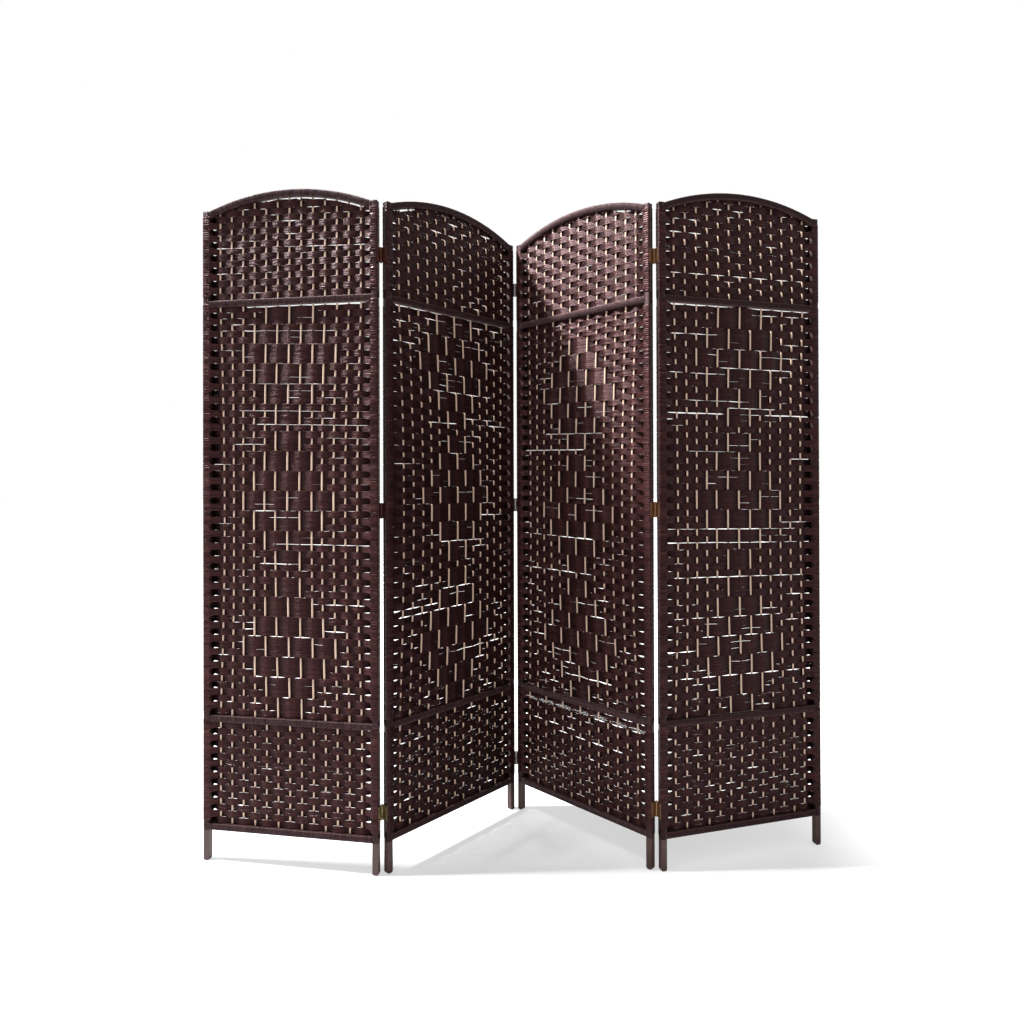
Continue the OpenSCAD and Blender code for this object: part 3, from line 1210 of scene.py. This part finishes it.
    def weave_row(self, mesh: CordMesh, row: int) -> None:
        """Adds the cords of one row.

        Args:
            mesh: where the cords go.
            row: the row.
        """
        x, y = self.row_path(row)
        reach = self.sizes.inner_w / 2
        held = np.clip(x, -reach, reach)
        spread = self.fan(reach - np.abs(held))
        spread[np.abs(x) > reach] = 1.0
        low, high = self.edge(row, 0, held), self.edge(row, 1, held)
        foot = (self.line(row - 1, held) + self.line(row, held)) / 2
        head = (self.line(row + 1, held) + self.line(row + 2, held)) / 2
        thick = self.field_t + (self.post_t - self.field_t) * spread
        height = (1 - spread) * (high - low) + spread * (head - foot)
        for cord in range(self.cords):
            share = (cord + 0.5) / self.cords
            woven, fanned = low + share * (high - low), foot + share * (head - foot)
            z = (1 - spread) * woven + spread * fanned
            z = self.parted(x, z + Wander(self.rng, *self.cord_wander)(x))
            kept = slice(None)
            if self.kind is WeaveField.UPPER:
                fitted = self.under_arch(x, z)
                if fitted is None:
                    continue
                z, kept = fitted
            depth = Wander(self.rng, *self.depth_wander)(x) * (1 - spread)
            mesh.sweep(
                np.column_stack((x, y + depth, z))[kept],
                (0.0, 0.0, 1.0),
                (height / self.cords + self.overlap * (1 + spread))[kept],
                thick[kept],
                float(np.clip(self.rng.normal(self.tone, self.tone_spread), 0, 1)),
                self.rng.normal(0, self.lean) + Wander(self.rng, *self.lean_wander)(x)[kept],
                tuck=y[kept],
            )

    def build(self, panel: int, finish: bpy.types.Material) -> Iterator[bpy.types.Object]:
        """Makes the field's pieces: three of the tall field and one of each other.

        Args:
            panel: the panel's number.
            finish: the cord's material.

        Yields:
            Each piece, riding on its panel and standing for the CAD node.
        """
        parts = self.middle_parts if self.kind is WeaveField.MIDDLE else 1
        for part in range(parts):
            mesh = CordMesh()
            for row in range(self.rows * part // parts, self.rows * (part + 1) // parts):
                self.weave_row(mesh, row)
            name = f"panel_{panel}_{self.kind.value}_cords"
            if parts > 1:
                name += f"_{part + 1}"
            piece = mesh.build(name, self.sizes.place, finish)
            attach(piece, f"panel_{panel}")
            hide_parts(f"panel_{panel}_{self.kind.value}")
            yield piece


@dataclass
class Winding:
    """Cord wound tight round the posts, the rails and the arch of a panel."""

    sizes: PanelSizes
    rng: np.random.Generator
    tone: float
    pitch: float = 3.0 * MM
    corner_angles: tuple[float, ...] = (5.0, 45.0, 85.0)
    profile: tuple[tuple[float, float], ...] = ((0.0, 0.15), (0.22, 0.8), (0.5, 1.0), (0.78, 0.8))
    post_thick: float = 0.9 * MM
    rail_thick: float = 1.4 * MM
    top_gap: float = 1.0 * MM
    row_reach: float = 12.0 * MM
    arch_turn: float = 45.0 * MM
    width_spread: float = 0.18
    least_height: float = 0.86
    tilt: float = 0.02
    tone_spread: float = 0.22

    def outline(
        self, half_u: float, half_v: float, thick: float
    ) -> tuple[np.ndarray, np.ndarray]:
        """Makes a rounded rectangle round a section of wood.

        Args:
            half_u: half the wood's section along u.
            half_v: half the wood's section along v.
            thick: how far outside the wood it runs.

        Returns:
            The offsets of its points along u and v.
        """
        corner = self.sizes.corner_r
        angles = np.radians(np.array(self.corner_angles))
        us, vs = [], []
        for quarter in range(4):
            turn = quarter * math.pi / 2
            sign_u = 1 if quarter in (0, 3) else -1
            sign_v = 1 if quarter in (0, 1) else -1
            us.append(sign_u * (half_u - corner) + (corner + thick) * np.cos(angles + turn))
            vs.append(sign_v * (half_v - corner) + (corner + thick) * np.sin(angles + turn))
        return np.concatenate(us), np.concatenate(vs)

    def wind(
        self,
        mesh: CordMesh,
        start: float,
        end: float,
        half: tuple[float, float],
        thick: float,
        place: Callable[[np.ndarray, np.ndarray, np.ndarray], np.ndarray],
    ) -> None:
        """Adds a sleeve of windings.

        Args:
            mesh: where the sleeve goes.
            start: where the first winding starts along the wood.
            end: where the last one ends.
            half: half the wood's section along u and along v.
            thick: the cord's thickness.
            place: turns places along the wood and offsets u and v into points.
        """
        count = max(1, round((end - start) / self.pitch))
        step = (end - start) / count
        widths = 1 + self.rng.uniform(-self.width_spread, self.width_spread, count)
        starts = start + np.concatenate(((0.0,), np.cumsum(widths))) * (end - start) / widths.sum()
        heights = self.rng.uniform(self.least_height, 1.0, count)
        tilts = self.rng.normal(0, self.tilt, (count, 2))
        tones = np.clip(self.rng.normal(self.tone, self.tone_spread, count), 0, 1)
        rings, across, ring_tones = [], [], []
        base_u, base_v = self.outline(*half, 0.0)
        full_u, full_v = self.outline(*half, thick)
        for k in range(count):
            for part, rise in self.profile:
                share = rise * heights[k]
                u = base_u + (full_u - base_u) * share
                v = base_v + (full_v - base_v) * share
                at = starts[k] + part * (starts[k + 1] - starts[k])
                rings.append(place(at + u * tilts[k][0] + v * tilts[k][1], u, v))
                across.append((part - 0.5) * step)
                ring_tones.append(tones[k])
        rings.append(place(np.full_like(base_u, starts[-1]), base_u, base_v))
        across.append(0.5 * step)
        ring_tones.append(tones[-1])
        mesh.sleeve(np.array(rings), np.array(across), np.array(ring_tones))

    def posts(self, mesh: CordMesh) -> None:
        """Winds both posts beside the rails and at their tops, where no rows pass.

        Args:
            mesh: where the windings go.
        """
        sizes = self.sizes
        half = sizes.post_w / 2
        cover = sizes.cord_t + self.row_reach
        bands = (
            (sizes.bottom_rail[0] - sizes.cord_t, sizes.bottom_rail[1] + cover),
            (sizes.lower_rail[0] - cover, sizes.lower_rail[1] + cover),
            (sizes.upper_rail[0] - cover, sizes.upper_rail[1] + cover),
            (float(sizes.under_arch(sizes.inner_w / 2)) - 2 * cover, sizes.post_h - self.top_gap),
        )
        for end in (-1, 1):
            centre = end * (sizes.frame_w / 2 - half)
            for low, high in bands:
                self.wind(
                    mesh,
                    low,
                    high,
                    (half, half),
                    self.post_thick,
                    lambda at, u, v: np.column_stack((centre + u, v, at)),
                )

    def rails(self, mesh: CordMesh) -> None:
        """Winds the three straight rails, right up to the posts.

        Args:
            mesh: where the windings go.
        """
        sizes = self.sizes
        reach = sizes.inner_w / 2
        for low, high in (sizes.bottom_rail, sizes.lower_rail, sizes.upper_rail):
            middle = (low + high) / 2
            self.wind(
                mesh,
                -reach,
                reach,
                (sizes.post_w / 2, (high - low) / 2),
                self.rail_thick,
                lambda at, u, v: np.column_stack((at, -u, middle + v)),
            )

    def arch(self, mesh: CordMesh) -> None:
        """Winds the arch from post to post, with windings that turn upright beside the posts.

        Args:
            mesh: where the windings go.
        """
        sizes = self.sizes
        radius = sizes.arch_r - sizes.cord_t - sizes.rail_h / 2
        reach = math.asin(sizes.inner_w / 2 / radius) * radius

        def on_arch(at: np.ndarray, u: np.ndarray, v: np.ndarray) -> np.ndarray:
            """Puts windings round the arch.

            Args:
                at: distances along the arch's middle.
                u: offsets to its front.
                v: offsets outwards.

            Returns:
                The points.
            """
            angle = at / radius
            upright = smoothstep((np.abs(at) - reach + self.arch_turn) / self.arch_turn)
            leaning = angle * (1 - upright)
            long = v / np.cos(angle - leaning)
            return np.column_stack(
                (
                    radius * np.sin(angle) + long * np.sin(leaning),
                    -u,
                    sizes.arch_z + radius * np.cos(angle) + long * np.cos(leaning),
                )
            )

        half = (sizes.post_w / 2, sizes.rail_h / 2)
        self.wind(mesh, -reach, reach, half, self.rail_thick, on_arch)

    def build(self, panel: int, finish: bpy.types.Material) -> bpy.types.Object:
        """Makes the windings of a panel as one piece.

        Args:
            panel: the panel's number.
            finish: the cord's material.

        Returns:
            The piece, riding on its panel and standing for the CAD node.
        """
        mesh = CordMesh()
        self.posts(mesh)
        self.rails(mesh)
        self.arch(mesh)
        piece = mesh.build(f"panel_{panel}_wound_cord", self.sizes.place, finish)
        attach(piece, f"panel_{panel}")
        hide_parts(f"panel_{panel}_cord_wraps")
        return piece


@dataclass
class Sticks:
    """The upright sticks of a panel, split from pale wood, none quite straight."""

    sizes: PanelSizes
    rng: np.random.Generator
    levels: int = 36
    bevel: float = 0.28
    bevel_ratio: float = 0.6
    narrow: tuple[float, float] = (0.76, 0.92)
    width_wander: tuple[float, float] = (0.015, 400 * MM)
    side_wander: tuple[float, float] = (0.25 * MM, 700 * MM)
    depth_wander: tuple[float, float] = (0.06 * MM, 500 * MM)

    def section(self) -> np.ndarray:
        """Makes a rectangle with cut corners.

        Returns:
            Its points, in widths and thicknesses.
        """
        cut, half = self.bevel / 2, 0.5
        x, y = half - self.bevel_ratio * cut, half - cut
        quarter = ((half, y), (x, half))
        upper = quarter + tuple((-a, b) for a, b in quarter[::-1])
        return np.array(upper + tuple((-a, -b) for a, b in upper))

    def build(self, panel: int, finish: bpy.types.Material) -> bpy.types.Object:
        """Makes the sticks of a panel as one piece.

        Args:
            panel: the panel's number.
            finish: the sticks' material.

        Returns:
            The piece, riding on its panel and standing for the CAD node.
        """
        sizes = self.sizes
        mesh = CordMesh()
        foot = sizes.bottom_rail[1] - sizes.stick_seat
        for number, top in enumerate(sizes.columns(sizes.post_h)[1:-1], start=1):
            arch = float(sizes.arch_height(sizes.arch_r - sizes.cord_t - sizes.rail_h, top))
            z = np.linspace(foot, arch + sizes.stick_seat, self.levels)
            x = np.array([sizes.columns(height)[number] for height in z])
            aside = Wander(self.rng, *self.side_wander)
            back = Wander(self.rng, *self.depth_wander)
            width = self.rng.uniform(*self.narrow) + Wander(self.rng, *self.width_wander)(z)
            mesh.sweep(
                np.column_stack((x + aside(z), back(z), z)),
                (1.0, 0.0, 0.0),
                sizes.stick_w * width,
                sizes.stick_t,
                float(self.rng.uniform(0, 1)),
                section=self.section(),
            )
        piece = mesh.build(f"panel_{panel}_split_sticks", sizes.place, finish)
        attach(piece, f"panel_{panel}")
        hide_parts(f"panel_{panel}_sticks")
        return piece


@dataclass
class Panel:
    """One panel: its weave, windings and sticks, and the finish of its posts and rails.

    The tones are how pale its woven and wound cords are, mostly from 0 to 1, and the bow is as in
    PanelSizes. The tones also hold painted light: the first and third panels, which face the lamp,
    are paler, and the second and fourth, which face away from it, darker. The swell is how many
    millimetres, at least and at most, a row's edge spreads where it passes a stick.
    """

    number: int
    # Both tones include painted light: paler on the first and third panels, which face the lamp,
    # darker on the second and fourth, which face away.
    tone: float
    wound_tone_and_painted_light: float
    bow: tuple[tuple[int, float], ...]
    middle_rows: int
    lower: Character
    middle: Character
    upper: Character
    swell: tuple[float, float] = (0.8, 1.7)
    lower_rows: int = 16
    upper_rows: int = 16
    upper_row_h: float = 17.4 * MM

    def build(self, finishes: Finishes) -> list[bpy.types.Object]:
        """Builds and dresses the panel.

        Args:
            finishes: the materials.

        Returns:
            Its new pieces.
        """
        sizes = PanelSizes.of(self.number, self.bow)
        rng = np.random.default_rng(SEED + self.number)
        lower = (sizes.bottom_rail[1] + sizes.cord_t, sizes.lower_rail[0] - sizes.cord_t)
        middle = (sizes.lower_rail[1] + sizes.cord_t, sizes.upper_rail[0] - sizes.cord_t)
        foot = sizes.upper_rail[1] + sizes.cord_t
        upper = (foot, foot + self.upper_rows * self.upper_row_h)
        fields = (
            (WeaveField.LOWER, *lower, self.lower_rows, self.lower),
            (WeaveField.MIDDLE, *middle, self.middle_rows, self.middle),
            (WeaveField.UPPER, *upper, self.upper_rows, self.upper),
        )
        made: list[bpy.types.Object] = []
        for kind, bottom, top, rows, character in fields:
            row_h = (top - bottom) / rows
            weave = Weave(sizes, kind, bottom, row_h, rows, rng, character, self.tone, self.swell)
            made.extend(weave.build(self.number, finishes.cord))
        made.append(Winding(sizes, rng, self.wound_tone_and_painted_light).build(self.number, finishes.wound))
        made.append(Sticks(sizes, rng).build(self.number, finishes.sticks))
        for name in ("left_post", "right_post"):
            dress(f"panel_{self.number}_{name}", finishes.posts)
        for name in ("bottom_rail", "lower_rail", "upper_rail", "arch_rail"):
            dress(f"panel_{self.number}_{name}", finishes.rails)
        return made


@dataclass
class Hinges:
    """The brass butt hinges of one fold."""

    fold: int

    def dress(self, finishes: Finishes) -> None:
        """Gives the leaves, pins and screws their finish."""
        for part in ("left_leaves", "right_leaves", "pins", "left_screws", "right_screws"):
            dress(f"fold_{self.fold}_{part}", finishes.brasses[self.fold - 1])


@dataclass(frozen=True)
class Lamp:
    """A soft square lamp that looks at a point."""

    name: str
    position: tuple[float, float, float]
    target: tuple[float, float, float]
    size: float
    power: float

    def place(self) -> None:
        """Makes the lamp."""
        data = bpy.data.lights.new(self.name, "AREA")
        data.shape = "SQUARE"
        data.size = self.size
        data.energy = self.power
        lamp = bpy.data.objects.new(self.name, data)
        lamp.location = self.position
        aim = Vector(self.target) - Vector(self.position)
        lamp.rotation_euler = aim.to_track_quat("-Z", "Y").to_euler()
        bpy.context.scene.collection.objects.link(lamp)


@dataclass(frozen=True)
class Room:
    """The pale floor, the white surroundings and the lamps."""

    floor_size: float = 60.0
    floor_colour: Colour = (0.50, 0.50, 0.51)
    floor_glow: tuple[float, float] = (0.42, 1.0)
    glow_reach: tuple[float, float] = (0.75, 1.25)
    world_level: float = 0.75
    lamps: tuple[Lamp, ...] = (Lamp("key", (-3.47, -0.08, 6.1), (0.2, 0.0, 1.0), 0.6, 1600.0),)

    def floor(self) -> None:
        """Makes the floor, white away from the screen and in its shadow beside it. Its glow to the
        camera grows away from the screen, painted light that hides the far part of the screen's
        cast shadow.
        """
        half = self.floor_size / 2
        mesh = bpy.data.meshes.new("floor")
        corners = [(-half, -half, 0), (half, -half, 0), (half, half, 0), (-half, half, 0)]
        mesh.from_pydata(corners, [], [(0, 1, 2, 3)])
        floor = bpy.data.objects.new("floor", mesh)
        bpy.context.scene.collection.objects.link(floor)
        material = bpy.data.materials.new("floor")
        sheet = NodeSheet(material)
        seen = sheet.add("ShaderNodeLightPath", {}, {}, "Is Camera Ray")
        length = {"operation": "LENGTH"}
        far = sheet.add("ShaderNodeVectorMath", length, {0: sheet.place()}, "Value")
        near, away = self.floor_glow
        # Painted light: the glow grows with distance from the screen, so the lamp's cast shadow
        # fades out away from it.
        glow = far.above(*self.glow_reach) * (away - near) + near
        matt = sheet.add("ShaderNodeBsdfDiffuse", {}, {"Color": (*self.floor_colour, 1.0)})
        lit = sheet.add("ShaderNodeEmission", {}, {"Strength": seen * glow})
        both = sheet.add("ShaderNodeAddShader", {}, {0: matt, 1: lit})
        sheet.node("ShaderNodeOutputMaterial", {}, {"Surface": both})
        mesh.materials.append(material)
        floor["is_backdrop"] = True

    def world(self) -> None:
        """Lights the scene evenly, and shows white to the camera and in gloss."""
        world = bpy.data.worlds.new("world")
        bpy.context.scene.world = world
        sheet = NodeSheet(world)
        path = sheet.node("ShaderNodeLightPath")
        rays = ("Is Camera Ray", "Is Glossy Ray", "Is Transmission Ray")
        camera, glossy, clear = (Signal(sheet, path.outputs[ray]) for ray in rays)
        strength = self.world_level + (1 - self.world_level) * (camera + glossy + clear)
        background = sheet.add(
            "ShaderNodeBackground", {}, {"Color": (1.0, 1.0, 1.0, 1.0), "Strength": strength}
        )
        sheet.node("ShaderNodeOutputWorld", {}, {"Surface": background})

    def build(self) -> None:
        """Makes the floor, the world and the lamps."""
        self.floor()
        self.world()
        for lamp in self.lamps:
            lamp.place()
        bpy.context.scene.view_settings.view_transform = "Standard"


def panels() -> list[Panel]:
    """Describes the four panels, with the drift of their rows and their wider slits.

    Returns:
        The panels, from the left one on.
    """
    # Each panel's two tones include painted light: the first and third panels face the lamp and
    # are paler, the second and fourth face away and are darker.
    first = Panel(
        1,
        0.62,
        0.50,
        ((1, 12), (2, 6), (3, 0), (4, -3), (6, -8.5), (8, -6.5), (9, -5.2), (10, -10), (13, -12)),
        62,
        Character(slits=(Slit(16, -172, 231, 1.0),)),
        Character(
            (
                Drift(0), Drift(12, 3), Drift(17, 2), Drift(26, 1, -0.007), Drift(30, 1),
                Drift(40, 0, -0.012), Drift(44, 0, -0.025), Drift(53, 3, -0.028),
                Drift(58, 2, -0.03), Drift(62, 0, -0.012),
            ),
            (
                Slit(62, -128, 206, 3.6), Slit(60, 17, 69, 1.0), Slit(58, -135, 132, 1.0),
                Slit(50, -104, 85, 1.0), Slit(46, -150, 105, 1.1), Slit(44, -98, 260, 1.4),
                Slit(42, 95, 231, 1.0), Slit(41, -161, -70, 1.1), Slit(38, -260, -161, 1.0),
                Slit(35, 189, 228, 1.0), Slit(30, -64, 27, 1.4), Slit(29, -260, -156, 1.0),
                Slit(26, -51, 260, 1.4), Slit(23, -88, 6, 1.6), Slit(17, 60, 226, 1.4),
            ),
        ),
        Character(
            (Drift(0), Drift(4, 1, -0.01), Drift(8, -2, -0.026), Drift(16, -3, -0.02)),
            (
                Slit(4, -219, -135, 1.4), Slit(8, -221, -130, 1.8), Slit(8, 40, 226, 1.6),
                Slit(10, -15, 30, 1.4), Slit(12, -35, 33, 1.8), Slit(13, -67, -36, 1.4),
            ),
            (Slit(16, -90, 40, 0.8), Slit(16, 20, 214, 0.9)),
        ),
    )
    second = Panel(
        2,
        0.05,
        -0.10,
        ((1, 15.5), (3, 17), (5, 13), (7, 14), (9, 11), (10, 7), (12, -1), (13, -7)),
        62,
        Character(slits=(Slit(16, -183, 231, 1.1), Slit(4, -200, -164, 1.8))),
        Character(
            (
                Drift(0), Drift(8, 0, 0.019), Drift(15, 4, 0.027), Drift(18, 7, 0.02),
                Drift(22, 10), Drift(25, 14, -0.02), Drift(28, 16, -0.03), Drift(31, 14, -0.015),
                Drift(34, 9), Drift(37, 4), Drift(40, -2), Drift(44, -5, 0.002),
                Drift(47, -7, -0.01), Drift(50, -6, -0.02), Drift(56, -11, -0.012),
                Drift(59, -9), Drift(62, 0, 0.012),
            ),
            (
                Slit(62, -221, 218, 1.8), Slit(61, 72, 213, 1.0), Slit(61, -111, -28, 1.0),
                Slit(60, -226, -164, 1.7), Slit(58, 35, 129, 1.0), Slit(57, -232, -143, 1.6),
                Slit(50, -90, 160, 1.1), Slit(46, 45, 187, 1.1), Slit(45, -101, 9, 1.7),
                Slit(45, 140, 213, 1.7), Slit(38, -260, -124, 1.0), Slit(29, 103, 205, 1.1),
                Slit(25, -59, 124, 1.3), Slit(21, 35, 72, 1.1), Slit(18, -54, 77, 1.3),
                Slit(16, -231, -59, 1.7), Slit(15, -260, 77, 1.4), Slit(8, 0, 223, 1.3),
            ),
        ),
        Character(
            (Drift(0), Drift(8, 1, -0.01), Drift(16, 0, -0.012)),
            (
                Slit(0, 14, 192, 1.0), Slit(12, -100, 14, 1.4), Slit(13, 30, 80, 1.4),
                Slit(14, -28, 17, 1.9), Slit(14, 98, 155, 1.9),
            ),
            (Slit(16, -214, -145, 1.8),),
        ),
        swell=(1.2, 2.2),
    )
    third = Panel(
        3,
        0.75,
        1.00,
        (
            (1, 5), (2, -0.5), (3, -6), (4, -11), (6, -13), (7, -15), (9, -14), (10, -13.5),
            (13, -17),
        ),
        69,
        Character(
            (
                Drift(0), Drift(9, -8, -0.01), Drift(12, -8, -0.02), Drift(15, -8, -0.01),
                Drift(16, -1, -0.008),
            ),
            (
                Slit(16, -218, 186, 1.1), Slit(15, 48, 231, 1.0), Slit(14, -68, 42, 0.6),
                Slit(12, -218, -20, 0.7), Slit(11, -83, 158, 1.1), Slit(10, 200, 260, 1.0),
            ),
        ),
        Character(
            (
                Drift(0, 0, -0.004), Drift(4, 1, -0.012), Drift(12, 5, -0.01), Drift(18, 6, -0.01),
                Drift(22, 11, -0.012), Drift(28, 16, -0.024), Drift(34, 19, -0.024),
                Drift(40, 18, -0.02), Drift(44, 16, -0.015), Drift(48, 14, -0.03),
                Drift(53, 9, -0.03), Drift(59, 7, -0.025), Drift(65, 5, -0.015), Drift(69),
            ),
            (
                Slit(52, -10, 53, 1.4), Slit(47, -135, 90, 1.3), Slit(44, -224, 22, 1.8),
                Slit(30, -224, -187, 1.4), Slit(28, -224, 50, 1.0), Slit(22, -218, 53, 1.0),
                Slit(18, 53, 105, 1.4), Slit(5, -77, -36, 1.1), Slit(4, -61, 116, 1.6),
                Slit(0, -77, 231, 1.1),
            ),
        ),
        Character(
            (Drift(0), Drift(8, 0, -0.02), Drift(16, 0, -0.02)),
            arch_slits=(Slit(16, 120, 190, 1.6),),
        ),
        swell=(1.2, 2.2),
    )
    fourth = Panel(
        4,
        0.32,
        -0.20,
        ((1, 10), (2, 5), (3, -0.5), (5, -7.5), (8, -4.5), (10, -8), (13, -10)),
        62,
        Character(slits=(Slit(2, -211, -158, 1.3),)),
        Character(
            (
                Drift(0), Drift(3, -6), Drift(9, -3), Drift(15, -6, -0.005), Drift(21, -5, -0.013),
                Drift(25, -2, -0.018), Drift(28, 0, -0.015), Drift(37, -2, -0.01),
                Drift(43, -6, -0.005), Drift(47, -10, -0.008), Drift(53, -8, -0.012),
                Drift(56, -10), Drift(59, -7, 0.008), Drift(62, 0, 0.01),
            ),
            (
                Slit(62, -214, -17, 3.0), Slit(62, 20, 224, 3.6), Slit(61, 124, 223, 1.3),
                Slit(58, -211, -64, 1.4), Slit(57, 113, 218, 1.4), Slit(55, 61, 223, 1.1),
                Slit(53, -70, 140, 1.3), Slit(52, -260, -40, 1.0), Slit(48, -179, 9, 1.3),
                Slit(47, -43, 113, 1.8), Slit(46, -236, -54, 3.0), Slit(46, 77, 260, 3.4),
                Slit(45, -260, -200, 1.9), Slit(40, -169, -12, 1.1), Slit(39, 155, 260, 1.3),
                Slit(29, 176, 260, 1.0), Slit(28, -231, 176, 1.1), Slit(26, -231, 82, 1.7),
                Slit(26, 60, 260, 1.0), Slit(21, -205, 202, 1.4), Slit(15, -205, 129, 1.1),
                Slit(14, 119, 260, 1.1), Slit(12, -127, 103, 1.1), Slit(10, -226, -153, 1.3),
                Slit(6, -205, 260, 1.1), Slit(0, -111, 72, 1.0),
            ),
        ),
        Character(
            (Drift(0), Drift(4, -6, 0.004), Drift(10, -3), Drift(14, -2), Drift(16)),
            (
                Slit(0, -158, 192, 1.0), Slit(4, -216, 202, 1.4), Slit(10, -220, -116, 1.4),
                Slit(14, -90, -54, 1.4), Slit(14, -33, 14, 1.4),
            ),
        ),
    )
    return [first, second, third, fourth]


def main() -> None:
    """Builds the camera, the room and the screen, and reports each piece."""
    logging.basicConfig(level=logging.INFO, format="%(name)s: %(message)s")
    Viewpoint().place()
    Room().build()
    finishes = Finishes.make()
    screen = panels()
    for panel in screen:
        for piece in panel.build(finishes):
            log.info("%s: %d faces", piece.name, len(piece.data.polygons))
    for fold in range(1, len(screen)):
        Hinges(fold).dress(finishes)
        log.info("fold %d: hinges dressed", fold)
    boxes = {"cad": CAD_BOX, "visual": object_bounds()}
    {name: [list(corner) for corner in box] for name, box in boxes.items()}


if __name__ == "__main__":
    main()
